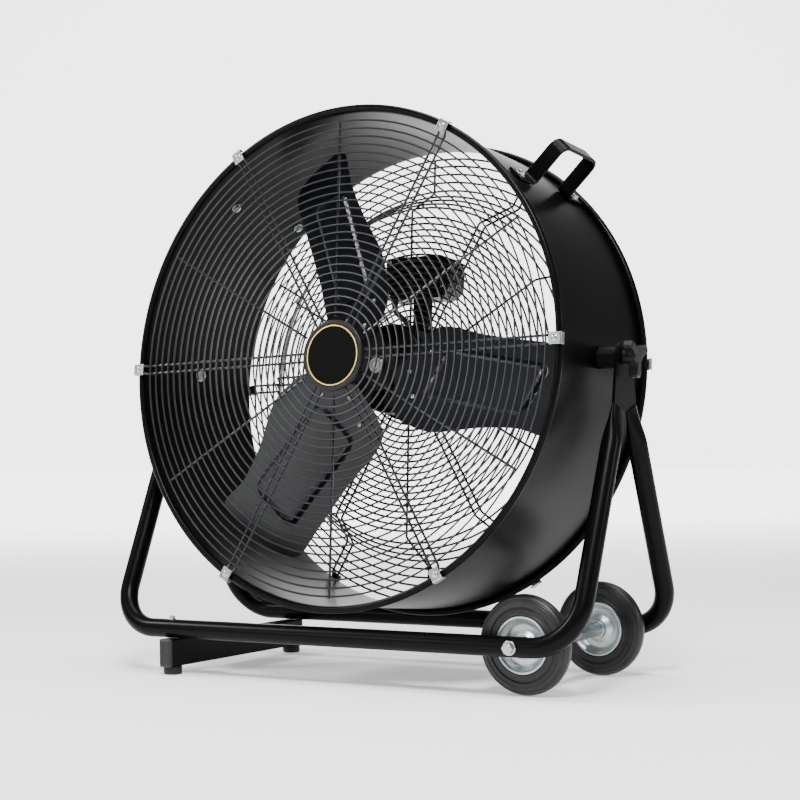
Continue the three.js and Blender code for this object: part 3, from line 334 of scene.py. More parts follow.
BLACK_PAINT = Coating(
    "semi_gloss_black", (0.0014, 0.0014, 0.0015), (0.0028, 0.0028, 0.003),
    0.3, 0.05, 0.0, 0.07, Grain.SPRAYED, 1100.0, 0.00001,
)
WIRE_PAINT = Coating(
    "wire_paint", (0.014, 0.015, 0.018), (0.024, 0.025, 0.028),
    0.3, 0.08, 0.3, 0.5, Grain.SPRAYED, 1300.0, 0.00003,
)
BLADE_PAINT = Coating(
    "blade_paint", (0.0045, 0.0052, 0.0068), (0.0065, 0.0072, 0.0088),
    0.3, 0.05, 0.1, 0.5, Grain.ROLLED, 420.0, 0.000012,
)
HUB_PAINT = Coating(
    "hub_paint", (0.003, 0.003, 0.0034), (0.006, 0.006, 0.0068),
    0.36, 0.1, 0.1, 0.1, Grain.ROLLED, 500.0, 0.00004,
)
PLASTIC = Coating(
    "moulded_plastic", (0.003, 0.003, 0.0033), (0.006, 0.006, 0.0064),
    0.4, 0.1, 0.0, 0.3, Grain.MOULDED, 1600.0, 0.00003,
)
PALE_PLASTIC = Coating(
    "end_plug_plastic", (0.012, 0.0125, 0.014), (0.02, 0.02, 0.022),
    0.46, 0.1, 0.0, 0.3, Grain.MOULDED, 1500.0, 0.00006,
)
LABEL = Coating(
    "label_gloss", (0.0012, 0.0012, 0.0012), (0.0015, 0.0015, 0.0015),
    0.45, 0.05, 0.0, 0.05, Grain.SPRAYED, 500.0, 0.00001,
)
GOLD = Coating(
    "label_ring", (0.55, 0.38, 0.1), (0.62, 0.46, 0.16),
    0.35, 0.1, 0.6, 0.5, Grain.SPRAYED, 800.0, 0.00001,
)
RUBBER = Coating(
    "foot_rubber", (0.007, 0.007, 0.0075), (0.016, 0.016, 0.0165),
    0.55, 0.14, 0.0, 0.3, Grain.ROLLED, 700.0, 0.00007,
)
TYRE_RUBBER = Coating(
    "tyre_rubber", (0.005, 0.005, 0.0056), (0.011, 0.011, 0.0118),
    0.38, 0.14, 0.0, 0.35, Grain.ROLLED, 520.0, 0.0001,
)
ZINC = Plating("bright_zinc")
STEEL = Plating("dark_steel", (0.1, 0.105, 0.11), (0.15, 0.148, 0.14), 0.32)


# ------------------------------------------------------------------- solids


def clamped(value: float) -> float:
    """A value kept between 0 and 1."""
    return min(max(value, 0.0), 1.0)


def eased(value: float) -> float:
    """A smooth step from 0 to 1 over the values from 0 to 1."""
    share = clamped(value)
    return share * share * (3 - 2 * share)


def arc(centre: Sequence[float], radius: float, start: float, end: float, steps: int) -> Outline:
    """Points on an arc.

    Args:
        centre: The arc's centre.
        radius: Its radius.
        start: First angle in degrees.
        end: Last angle in degrees.
        steps: Number of chords.

    Returns:
        The points, both ends included.
    """
    points = []
    for i in range(steps + 1):
        angle = math.radians(start + (end - start) * i / steps)
        points.append((centre[0] + radius * math.cos(angle), centre[1] + radius * math.sin(angle)))
    return points


def rounded(outline: Outline, radius: float, steps: int, looped: bool = True) -> Outline:
    """Round the corners of an outline.

    Args:
        outline: Corner points.
        radius: The rounding's radius, kept under 0.45 of the shorter side.
        steps: Chords in each rounding.
        looped: Whether the last point joins the first.

    Returns:
        The outline with rounded corners.
    """
    count = len(outline)
    points: Outline = []
    for i, corner in enumerate(outline):
        if not looped and i in (0, count - 1):
            points.append(corner)
            continue
        here = Vector(corner)
        back = Vector(outline[i - 1]) - here
        ahead = Vector(outline[(i + 1) % count]) - here
        cut = min(radius, 0.45 * back.length, 0.45 * ahead.length)
        first = here + back.normalized() * cut
        last = here + ahead.normalized() * cut
        for k in range(steps + 1):
            t = k / steps
            blend = first * (1 - t) ** 2 + here * (2 * t * (1 - t)) + last * t ** 2
            points.append((blend.x, blend.y))
    return points


def mirrored(profile: Outline) -> Outline:
    """A profile of radius and Y, then the same profile mirrored and read backwards."""
    return profile + [(r, -y) for r, y in reversed(profile)]


def block(half_x: float, half_z: float, radius: float) -> Outline:
    """A rectangle with rounded corners, by its half sides."""
    corners = [(-half_x, -half_z), (half_x, -half_z), (half_x, half_z), (-half_x, half_z)]
    return rounded(corners, radius, 4)


class Solid:
    """Corners and faces of a closed shape, in millimetres."""

    def __init__(self) -> None:
        """Start with nothing."""
        self.corners: list[Vector] = []
        self.faces: list[list[int]] = []

    def skin(
        self, rows: Sequence[Sequence[Vector]], looped: bool = True, ringed: bool = False
    ) -> "Solid":
        """Lay faces between rows of corners.

        Args:
            rows: Rows with equal numbers of corners.
            looped: Whether a row's last corner joins its first.
            ringed: Whether the last row joins the first; if not, both are filled.

        Returns:
            This solid.
        """
        base = len(self.corners)
        size = len(rows[0])
        for row in rows:
            self.corners.extend(Vector(corner) for corner in row)
        turns = len(rows) if ringed else len(rows) - 1
        for k in range(turns):
            low = base + k * size
            high = base + ((k + 1) % len(rows)) * size
            for i in range(size if looped else size - 1):
                j = (i + 1) % size
                self.faces.append([low + i, low + j, high + j, high + i])
        if not ringed:
            last = base + (len(rows) - 1) * size
            self.faces.append([base + i for i in reversed(range(size))])
            self.faces.append([last + i for i in range(size)])
        return self

    def turned(self, profile: Outline, sides: int, looped: bool = False) -> "Solid":
        """Turn a profile about the Y axis.

        Args:
            profile: Points of radius and Y; an open one starts and ends on the axis.
            sides: Steps round the axis.
            looped: Whether the profile closes on itself.

        Returns:
            This solid.
        """
        rows = []
        for k in range(sides):
            angle = math.tau * k / sides
            cosine, sine = math.cos(angle), math.sin(angle)
            rows.append([Vector((r * cosine, y, r * sine)) for r, y in profile])
        return self.skin(rows, looped=looped, ringed=True)

    def prism(self, outline: Outline, low: float, high: float) -> "Solid":
        """Extrude an outline in X and Z along Y.

        Args:
            outline: Points of X and Z.
            low: First Y.
            high: Last Y.

        Returns:
            This solid.
        """
        return self.skin([[Vector((x, y, z)) for x, z in outline] for y in (low, high)])

    def moved(self, matrix: Matrix) -> "Solid":
        """Move the shape, and give it back."""
        self.corners = [matrix @ corner for corner in self.corners]
        return self

    def joined(self, other: "Solid") -> "Solid":
        """Add another solid to this one, and give this one back."""
        base = len(self.corners)
        self.corners += other.corners
        self.faces += [[base + i for i in face] for face in other.faces]
        return self


def hexagon(radius: float) -> Outline:
    """A hexagon's corners, by the radius to a corner."""
    return arc((0, 0), radius, 0, 300, 5)


def shift(x: float, y: float, z: float) -> Matrix:
    """A move."""
    return Matrix.Translation((x, y, z))


def spin(degrees: float, axis: str) -> Matrix:
    """A turn about an axis of the frame."""
    return Matrix.Rotation(math.radians(degrees), 4, axis)


def round_drum(degrees: float) -> Matrix:
    """The turn that takes the drum's +X radius to an angle, seen from the front."""
    return spin(-degrees, "Y")


STAND_FRAME = Matrix.Scale(MM, 4)
DRUM_FRAME = shift(0, 0, PIVOT_HEIGHT * MM) @ spin(-DRUM_TILT, "X") @ STAND_FRAME


def published(name: str, mesh: bpy.types.Mesh) -> bpy.types.Object:
    """A new object in the scene that shows a mesh."""
    piece = bpy.data.objects.new(name, mesh)
    bpy.context.scene.collection.objects.link(piece)
    return piece


def baked(piece: bpy.types.Object) -> bpy.types.Object:
    """Replace a piece's modifiers with the mesh that they give.

    Args:
        piece: An object with live modifiers.

    Returns:
        The same object with a plain mesh.
    """
    graph = bpy.context.evaluated_depsgraph_get()
    mesh = bpy.data.meshes.new_from_object(piece.evaluated_get(graph))
    piece.modifiers.clear()
    piece.data = mesh
    return piece


def modelled(
    name: str,
    solid: Solid,
    place: Matrix,
    finish: Finish,
    bevel: float = 0.0,
    smooth: float = SMOOTH_ANGLE,
) -> bpy.types.Object:
    """Make a piece from a solid.

    Args:
        name: The piece's name.
        solid: Its shape in millimetres.
        place: The frame that the millimetres are in.
        finish: What it is coated with.
        bevel: Width of the rounded edges in millimetres, or 0.
        smooth: Largest angle, in degrees, that is shaded smooth.

    Returns:
        The piece, at the origin, with its place in its mesh.
    """
    mesh = bpy.data.meshes.new(name)
    mesh.from_pydata(solid.corners, [], solid.faces)
    work = bmesh.new()
    work.from_mesh(mesh)
    bmesh.ops.remove_doubles(work, verts=work.verts, dist=MERGE_DISTANCE)
    bmesh.ops.recalc_face_normals(work, faces=work.faces)
    work.transform(place)
    work.to_mesh(mesh)
    work.free()
    piece = published(name, mesh)
    if bevel:
        rounding = piece.modifiers.new("edges", "BEVEL")
        rounding.width = bevel * MM
        rounding.segments = BEVEL_SEGMENTS
        rounding.limit_method = "ANGLE"
        rounding.angle_limit = math.radians(BEVEL_ANGLE)
        baked(piece)
    piece.data.materials.clear()
    piece.data.materials.append(finish.material())
    piece.data.shade_smooth()
    piece.data.set_sharp_from_angle(angle=math.radians(smooth))
    flats = piece.modifiers.new("flats", "WEIGHTED_NORMAL")
    flats.keep_sharp = True
    return baked(piece)


@dataclass(frozen=True)
class Bench:
    """The frame that pieces are made in, and the body that they ride on."""

    place: Matrix
    body: str

    def tie(self, piece: bpy.types.Object, nodes: Sequence[str] = ()) -> None:
        """Tie a finished piece to its body and to the solids that it stands for.

        Args:
            piece: The finished piece.
            nodes: The solids that it stands for.
        """
        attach(piece, self.body)
        if nodes:
            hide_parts(*nodes)
        LOG.info("%s: %d faces on %s", piece.name, len(piece.data.polygons), self.body)

    def fit(
        self, name: str, solid: Solid, finish: Finish, nodes: Sequence[str] = (),
        bevel: float = 0.0, smooth: float = SMOOTH_ANGLE,
    ) -> None:
        """Make a piece from a solid and tie it to the body.

        Args:
            name: The piece's name.
            solid: Its shape in millimetres.
            finish: What it is coated with.
            nodes: The solids that it stands for.
            bevel: Width of the rounded edges in millimetres, or 0.
            smooth: Largest angle, in degrees, that is shaded smooth.
        """
        self.tie(modelled(name, solid, self.place, finish, bevel, smooth), nodes)


ON_STAND = Bench(STAND_FRAME, "stand")
ON_DRUM = Bench(DRUM_FRAME, "drum")
ON_IMPELLER = Bench(DRUM_FRAME, "impeller")


# ----------------------------------------------------------- geometry nodes


class Pattern:
    """A Geometry Nodes tree that lays out what repeats or follows a path."""

    def __init__(self, name: str, inputs: Sequence[tuple[str, str, Any]]) -> None:
        """Start a tree.

        Args:
            name: The tree's name.
            inputs: Name, socket type and default of each input.
        """
        self.tree = bpy.data.node_groups.new(name, "GeometryNodeTree")
        face = self.tree.interface
        face.new_socket("Geometry", in_out="INPUT", socket_type="NodeSocketGeometry")
        face.new_socket("Geometry", in_out="OUTPUT", socket_type="NodeSocketGeometry")
        for label, kind, default in inputs:
            socket = face.new_socket(label, in_out="INPUT", socket_type=kind)
            if default is not None:
                socket.default_value = default
        self.source = self.tree.nodes.new("NodeGroupInput")
        self.sink = self.tree.nodes.new("NodeGroupOutput")

    def given(self, name: str) -> bpy.types.NodeSocket:
        """One of the tree's inputs."""
        return self.source.outputs[name]

    def node(
        self, kind: str, settings: dict[str, Any], values: dict[Any, Any], output: Any = 0
    ) -> bpy.types.NodeSocket:
        """Add any node.

        Args:
            kind: The node's type.
            settings: Properties that are set first.
            values: Values or sockets for its inputs.
            output: The output that is wanted, by name or place.

        Returns:
            That output's socket.
        """
        return planted(self.tree, kind, settings, values).outputs[output]

    def stock(self, line: bpy.types.NodeSocket, capped: bool) -> bpy.types.NodeSocket:
        """Lay round stock along a line, by the inputs Wire Radius and Wire Sides.

        Args:
            line: The line, as a curve.
            capped: Whether its ends are closed.

        Returns:
            The stock's surface.
        """
        section = self.node("GeometryNodeCurvePrimitiveCircle", {}, {
            "Resolution": self.given("Wire Sides"), "Radius": self.given("Wire Radius"),
        })
        return self.node("GeometryNodeCurveToMesh", {}, {
            "Curve": line, "Profile Curve": section, "Fill Caps": capped,
        })

    def close(self, geometry: bpy.types.NodeSocket) -> "Pattern":
        """End the tree in real, coated geometry.

        Args:
            geometry: What was laid out.

        Returns:
            This pattern.
        """
        real = self.node("GeometryNodeRealizeInstances", {}, {0: geometry})
        coated = self.node(
            "GeometryNodeSetMaterial", {}, {"Geometry": real, "Material": self.given("Material")}
        )
        self.tree.links.new(coated, self.sink.inputs[0])
        return self

    def grown(
        self, seed: bpy.types.Object, place: Matrix, values: dict[str, Any], drawn: bool = True
    ) -> bpy.types.Object:
        """Run the tree on a seed object and keep the mesh that it gives.

        Args:
            seed: An object whose mesh is the tree's input, in millimetres.
            place: The frame that the millimetres are in.
            values: Values for the tree's named inputs.
            drawn: Whether the tree draws new surface, which still has no shading set.

        Returns:
            The seed object, now showing the result.
        """
        modifier = seed.modifiers.new("pattern", "NODES")
        modifier.node_group = self.tree
        for item in self.tree.interface.items_tree:
            if item.in_out == "INPUT" and item.name in values:
                modifier[item.identifier] = values[item.name]
        baked(seed)
        seed.data.transform(place)
        if drawn:
            seed.data.shade_smooth()
            seed.data.set_sharp_from_angle(angle=math.radians(SMOOTH_ANGLE))
        return seed


def wire_rings() -> Pattern:
    """The tree that turns points on an axis into rings of round wire."""
    pattern = Pattern("wire_rings", [
        ("Wire Radius", "NodeSocketFloat", 1.2),
        ("Ring Sides", "NodeSocketInt", 96),
        ("Wire Sides", "NodeSocketInt", 6),
        ("Material", "NodeSocketMaterial", None),
    ])
    size = pattern.node(
        "GeometryNodeInputNamedAttribute", {"data_type": "FLOAT"}, {"Name": "ring_radius"}
    )
    circle = pattern.node("GeometryNodeCurvePrimitiveCircle", {}, {
        "Resolution": pattern.given("Ring Sides"), "Radius": 1.0,
    })
    scale = pattern.node("ShaderNodeCombineXYZ", {}, {"X": size, "Y": size, "Z": 1.0})
    rings = pattern.node("GeometryNodeInstanceOnPoints", {}, {
        "Points": pattern.given("Geometry"),
        "Instance": circle,
        "Rotation": (math.pi / 2, 0.0, 0.0),
        "Scale": scale,
    })
    real = pattern.node("GeometryNodeRealizeInstances", {}, {0: rings})
    return pattern.close(pattern.stock(real, False))


def wire_paths() -> Pattern:
    """The tree that follows a line with round stock and repeats it round the Y axis."""
    pattern = Pattern("wire_paths", [
        ("Wire Radius", "NodeSocketFloat", 1.5),
        ("Wire Sides", "NodeSocketInt", 8),
        ("Count", "NodeSocketInt", 1),
        ("Roll", "NodeSocketFloat", 0.0),
        ("Material", "NodeSocketMaterial", None),
    ])
    line = pattern.node("GeometryNodeMeshToCurve", {}, {"Mesh": pattern.given("Geometry")})
    return pattern.close(repeated(pattern, pattern.stock(line, True)))


def ring_of_parts() -> Pattern:
    """The tree that repeats a part round the Y axis."""
    pattern = Pattern("ring_of_parts", [
        ("Count", "NodeSocketInt", 1),
        ("Roll", "NodeSocketFloat", 0.0),
        ("Material", "NodeSocketMaterial", None),
    ])
    return pattern.close(repeated(pattern, pattern.given("Geometry")))


def repeated(pattern: Pattern, part: bpy.types.NodeSocket) -> bpy.types.NodeSocket:
    """Repeat a part in equal steps round the Y axis.

    Args:
        pattern: The tree, with inputs named Count and Roll.
        part: The part's geometry.

    Returns:
        The instances.
    """
    count = pattern.given("Count")
    points = pattern.node("GeometryNodePoints", {}, {"Count": count})
    index = pattern.node("GeometryNodeInputIndex", {}, {})
    step = pattern.node("ShaderNodeMath", {"operation": "DIVIDE"}, {0: -math.tau, 1: count})
    turn = pattern.node("ShaderNodeMath", {"operation": "MULTIPLY_ADD"}, {
        0: index, 1: step, 2: pattern.given("Roll"),
    })
    angles = pattern.node("ShaderNodeCombineXYZ", {}, {"Y": turn})
    return pattern.node("GeometryNodeInstanceOnPoints", {}, {
        "Points": points, "Instance": part, "Rotation": angles,
    })


def fasteners() -> Pattern:
    """The tree that sets one fastener on each point, along that point's aim."""
    pattern = Pattern("fasteners", [
        ("Fastener", "NodeSocketObject", None),
        ("Material", "NodeSocketMaterial", None),
    ])
    aim = pattern.node(
        "GeometryNodeInputNamedAttribute", {"data_type": "FLOAT_VECTOR"}, {"Name": "aim"}
    )
    turn = pattern.node("FunctionNodeAlignRotationToVector", {"axis": "Z"}, {"Vector": aim})
    one = pattern.node(
        "GeometryNodeObjectInfo", {}, {"Object": pattern.given("Fastener")}, "Geometry"
    )
    placed = pattern.node("GeometryNodeInstanceOnPoints", {}, {
        "Points": pattern.given("Geometry"), "Instance": one, "Rotation": turn,
    })
    return pattern.close(placed)


@dataclass
class Workshop:
    """The four trees, and the ways of using them."""

    rings: Pattern = field(default_factory=wire_rings)
    paths: Pattern = field(default_factory=wire_paths)
    parts: Pattern = field(default_factory=ring_of_parts)
    screws: Pattern = field(default_factory=fasteners)

    def ringed(
        self, name: str, rings: Sequence[tuple[float, float]], wire: float, finish: Finish
    ) -> bpy.types.Object:
        """Rings of wire about the drum's axis.

        Args:
            name: The piece's name.
            rings: Radius and Y of each ring.
            wire: The wire's radius.
            finish: What the wire is coated with.

        Returns:
            The piece.
        """
        mesh = bpy.data.meshes.new(name)
        mesh.from_pydata([(0.0, y, 0.0) for _, y in rings], [], [])
        sizes = mesh.attributes.new("ring_radius", "FLOAT", "POINT")
        sizes.data.foreach_set("value", [r for r, _ in rings])
        return self.rings.grown(published(name, mesh), DRUM_FRAME, {
            "Wire Radius": wire, "Material": finish.material(),
        })

    def followed(
        self, name: str, lines: Sequence[Sequence[Vector]], radius: float, finish: Finish,
        place: Matrix = DRUM_FRAME, sides: int = 8, count: int = 1, roll: float = 0.0,
    ) -> bpy.types.Object:
        """Round stock along lines, repeated round the Y axis.

        Args:
            name: The piece's name.
            lines: Points of each line.
            radius: The stock's radius.
            finish: What it is coated with.
            place: The frame that the millimetres are in.
            sides: Sides of the stock.
            count: Repeats in a full turn.
            roll: Angle of the first repeat, in degrees.

        Returns:
            The piece.
        """
        corners: list[Vector] = []
        edges: list[tuple[int, int]] = []
        for line in lines:
            base = len(corners)
            corners.extend(line)
            edges.extend((base + i, base + i + 1) for i in range(len(line) - 1))
        mesh = bpy.data.meshes.new(name)
        mesh.from_pydata(corners, edges, [])
        return self.paths.grown(published(name, mesh), place, {
            "Wire Radius": radius, "Wire Sides": sides, "Count": count,
            "Roll": -math.radians(roll), "Material": finish.material(),
        })

    def arrayed(
        self, name: str, part: Solid, finish: Finish, count: int, roll: float, bevel: float
    ) -> bpy.types.Object:
        """A part repeated round the drum's axis.

        Args:
            name: The piece's name.
            part: The part's shape.
            finish: What it is coated with.
            count: Repeats in a full turn.
            roll: Angle of the first repeat, in degrees.
            bevel: Width of the rounded edges in millimetres.

        Returns:
            The piece.
        """
        seed = modelled(name, part, Matrix.Identity(4), finish, bevel / MM)
        return self.parts.grown(seed, DRUM_FRAME, {
            "Count": count, "Roll": -math.radians(roll), "Material": finish.material(),
        }, False)

    def screwed(
        self, name: str, fastener: Solid, spots: Sequence[tuple[Vector, Vector]]
    ) -> bpy.types.Object:
        """The same zinc-plated fastener set at several spots of the drum.

        Args:
            name: The piece's name.
            fastener: Its shape, with its seat at the origin and its head along +Z.
            spots: Seat and outward direction of each.

        Returns:
            The piece.
        """
        one = modelled(f"{name}_one", fastener, Matrix.Identity(4), ZINC, SCREW_BEVEL / MM)
        mesh = bpy.data.meshes.new(name)
        mesh.from_pydata([spot for spot, _ in spots], [], [])
        aims = mesh.attributes.new("aim", "FLOAT_VECTOR", "POINT")
        aims.data.foreach_set("vector", [value for _, aim in spots for value in aim])
        piece = self.screws.grown(published(name, mesh), DRUM_FRAME, {
            "Fastener": one, "Material": ZINC.material(),
        }, False)
        bpy.data.objects.remove(one)
        return piece


def upright(solid: Solid) -> Solid:
    """Turn a solid that was built along +Y, so that it stands along +Z."""
    return solid.moved(spin(90, "X"))


def pan_screw(radius: float, height: float) -> Solid:
    """A domed screw head with a round recess, along +Z.

    Args:
        radius: The head's radius.
        height: The head's height.

    Returns:
        The screw head.
    """
    shares = [(0, -1), (1, -1), (1, 0.25), (0.72, 0.8), (0.42, 1), (0.3, 0.45), (0, 0.4)]
    dome = [(radius * across, height * rise) for across, rise in shares]
    return upright(Solid().turned(dome, 14))


def hex_bolt(radius: float, height: float, flange: float) -> Solid:
    """A hexagon head with a raised ring, on a washer, along +Z.

    Args:
        radius: The hexagon's radius to a corner.
        height: Height of head and washer together.
        flange: The washer's radius.

    Returns:
        The bolt head.
    """
    washer = 0.28 * height
    body = Solid().prism(hexagon(radius), washer * 0.8, height)
    ring = [(0, 0), (flange, 0), (flange, washer * 0.7)]
    ring += [(flange - washer * 0.4, washer), (0, washer)]
    stamp = [(0, height - 0.2), (radius * 0.72, height - 0.2), (radius * 0.66, height + 0.25)]
    stamp += [(radius * 0.4, height + 0.3), (radius * 0.34, height), (0, height)]
    return upright(body.joined(Solid().turned(ring, 24)).joined(Solid().turned(stamp, 20)))


# -------------------------------------------------------------------- stand


@dataclass
class Leg:
    """One bent-tube frame: the Y of its floor run and of its upper ends."""

    reach: float
    top: float
    leg_x: float = 351.4
    floor: float = 61.0
    joint: float = 344.4
    bend: float = 60.0
    spacing: float = 5.0
    stations: int = 15

    def foot(self) -> Vector:
        """The middle of the run along the floor."""
        return Vector((0.0, self.reach, self.floor))

    def end(self) -> Vector:
        """The level of its upper ends, in the middle plane."""
        return Vector((0.0, self.top, self.joint))

    def climb(self) -> Vector:
        """The direction of its sloping legs."""
        return (self.end() - self.foot()).normalized()

    def across(self) -> Vector:
        """The direction square to its legs and to the X axis."""
        climb = self.climb()
        return Vector((0.0, climb.z, -climb.y))

    def line(self) -> list[Vector]:
        """Points from one upper end to the other."""
        rise = (self.end() - self.foot()).length
        half = [(self.leg_x, rise - self.spacing * k) for k in range(self.stations)]
        half += arc((self.leg_x - self.bend, self.bend), self.bend, 0, -90, 18)
        whole = half + [(-x, z) for x, z in reversed(half)]
        return [self.foot() + self.climb() * z + Vector((x, 0, 0)) for x, z in whole]


@dataclass
class Stand:
    """The two tube frames, their hanger plates, the crossbar and its feet."""

    shop: Workshop
    legs: dict[str, Leg] = field(default_factory=lambda: {
        "front": Leg(-141.9, -19.0), "rear": Leg(127.2, 19.0),
    })
    tube: float = 12.6
    pressed: float = 50.0
    flattening: float = 0.64
    widening: float = 0.12
    plate_inner: float = 349.4
    plate_thickness: float = 4.0
    plate_gap: float = 0.3
    tongue: float = 7.0
    tongue_depth: float = 20.0
    eye: float = 20.0
    weld: float = 1.3
    weld_stops: tuple[float, ...] = (-9.5, -4.5, 0.0, 4.5, 9.5)
    bar_x: float = -258.0
    bar_width: float = 20.0
    bar_low: float = 10.3
    bar_high: float = 48.1
    bar_ends: dict[str, float] = field(default_factory=lambda: {"front": -153.9, "rear": 139.2})
    plug: float = 6.0
    foot_radius: float = 12.8
    stud_radius: float = 3.9
    stud_low: float = 36.3

    def press_ends(self, mesh: bpy.types.Mesh, leg: Leg) -> None:
        """Press the upper ends of a frame flat against its hanger plates.

        Args:
            mesh: The frame's mesh, in metres.
            leg: The frame's line.
        """
        climb, across, top = leg.climb(), leg.across(), leg.end()
        for vertex in mesh.vertices:
            spot = vertex.co / MM
            share = eased(1 - (top - spot).dot(climb) / self.pressed)
            middle = math.copysign(leg.leg_x, spot.x)
            spot += across * ((spot - top).dot(across) * share * self.widening)
            spot.x = middle + (spot.x - middle) * (1 - share * self.flattening)
            vertex.co = spot * MM

    def frames(self) -> None:
        """The two bent tubes with their pressed ends."""
        for name, leg in self.legs.items():
            piece = self.shop.followed(
                f"{name}_leg_frame", [leg.line()], self.tube, BLACK_PAINT, STAND_FRAME, 36
            )
            self.press_ends(piece.data, leg)
            ON_STAND.tie(piece, [f"{name}_tube"])

    def seat(self, leg: Leg) -> Outline:
        """Where a plate's lower edge meets one leg, from the inside outwards."""
        out = leg.across() * math.copysign(1.0, leg.reach)
        edge = [
            (-self.tube, self.plate_gap), (-self.tongue, self.plate_gap),
            (-self.tongue, -self.tongue_depth),
        ]
        edge += [(-across, rise) for across, rise in reversed(edge)]
        spots = [leg.end() + out * across + leg.climb() * rise for across, rise in edge]
        return [(spot.y, spot.z - PIVOT_HEIGHT) for spot in spots]

    def tangent(self, spot: tuple[float, float]) -> float:
        """Angle on the plate's eye where a line from a lower corner touches it."""
        lean = math.degrees(math.acos(self.eye / math.hypot(*spot)))
        return math.degrees(math.atan2(spot[1], spot[0])) + math.copysign(lean, spot[0])

    def plates(self) -> None:
        """The hanger plates, each a round eye that widens to both legs."""
        rear = self.seat(self.legs["rear"])
        front = list(reversed(self.seat(self.legs["front"])))
        start, end = self.tangent(rear[-1]), self.tangent(front[0]) + 360
        outline = rear + arc((0, 0), self.eye, start, end, 28) + front
        for name, side in (("right", 1), ("left", -1)):
            outer = self.plate_inner + self.plate_thickness
            rows = [
                [Vector((x, y, z + PIVOT_HEIGHT)) for y, z in outline]
                for x in sorted((side * self.plate_inner, side * outer))
            ]
            ON_STAND.fit(
                f"hanger_plate_{name}", Solid().skin(rows), BLACK_PAINT,
                [f"plate_{name}"], 0.5,
            )

    def welds(self) -> None:
        """Weld beads where the plates enter the tube ends."""
        lines = []
        edge = self.plate_thickness / 2 + 0.5
        for leg in self.legs.values():
            for side, face in ((1, 1), (1, -1), (-1, 1), (-1, -1)):
                top = leg.end() + leg.climb() * 0.2
                top.x += side * leg.leg_x + face * edge
                lines.append([top + leg.across() * stop for stop in self.weld_stops])
        piece = self.shop.followed("plate_welds", lines, self.weld, BLACK_PAINT, STAND_FRAME)
        ON_STAND.tie(piece)

    def crossbar(self) -> None:
        """The square bar, its end plugs and its rubber feet."""
        middle = (self.bar_low + self.bar_high) / 2
        tall = (self.bar_high - self.bar_low) / 2
        section = block(self.bar_width / 2, tall, 3.0)
        beam = Solid().prism(section, self.bar_ends["front"], self.bar_ends["rear"])
        beam.moved(shift(self.bar_x, 0, middle))
        ON_STAND.fit("crossbar_tube", beam, BLACK_PAINT, ["crossbar"])
        for name, way in ENDS.items():
            self.end_plug(name, way, middle, tall)
            self.foot(name)

    def end_plug(self, name: str, way: int, middle: float, tall: float) -> None:
        """One push-in plug with a bevelled outer face.

        Args:
            name: Which end.
            way: -1 to the front or 1 to the rear.
            middle: Height of the bar's middle.
            tall: Half the bar's height.
        """
        edge = self.plug - 0.3
        levels = [(0.2, 0.3), (0.6, 0.0), (edge - 2.5, 0.0), (edge - 0.3, 2.2), (edge, 2.6)]
        rows = []
        for depth, inset in levels:
            y = self.bar_ends[name] + way * depth
            outline = block(self.bar_width / 2 - inset, tall - inset, 2.4)
            rows.append([Vector((self.bar_x + a, y, middle + b)) for a, b in outline])
        ON_STAND.fit(
            f"end_plug_{name}", Solid().skin(rows), PALE_PLASTIC,
            [f"crossbar_cap_{name}"], 0.0, 26,
        )

    def foot(self, name: str) -> None:
        """One rubber foot, with a rounded edge and a ring groove."""
        r = self.foot_radius
        sole = [(0, 0.6), (r - 4.5, 0.6), (r - 4, 0), (r - 1.6, 0), (r - 0.5, 1.0)]
        side = [(r - 0.2, 7.4), (r - 0.7, 7.8), (r - 0.7, 8.4), (r, 8.8), (r, 10.0), (0, 10.0)]
        body = upright(Solid().turned(rounded(sole + side, 0.8, 3, False), 40))
        body.moved(shift(self.bar_x, self.legs[name].reach, 0))
        ON_STAND.fit(f"rubber_foot_{name}", body, RUBBER, [f"foot_{name}"])

    def bolts(self) -> None:
        """The through bolts of the crossbar, seen above the tubes and in the gap below."""
        r, low = self.stud_radius, self.stud_low
        for name, leg in self.legs.items():
            crown = leg.floor + self.tube
            head = hex_bolt(4.4, 4.9, 4.8).moved(shift(0, 0, crown - 0.3))
            stud = upright(Solid().turned([(0, low), (r, low), (r, crown), (0, crown)], 20))
            bolt = head.joined(stud).moved(shift(self.bar_x, leg.reach, 0))
            ON_STAND.fit(f"bar_bolt_{name}", bolt, ZINC, [f"crossbar_bolt_{name}"], 0.3)

    def build(self) -> None:
        """Make every piece of the stand."""
        self.frames()
        self.plates()
        self.welds()
        self.crossbar()
        self.bolts()


# ------------------------------------------------------------------- wheels


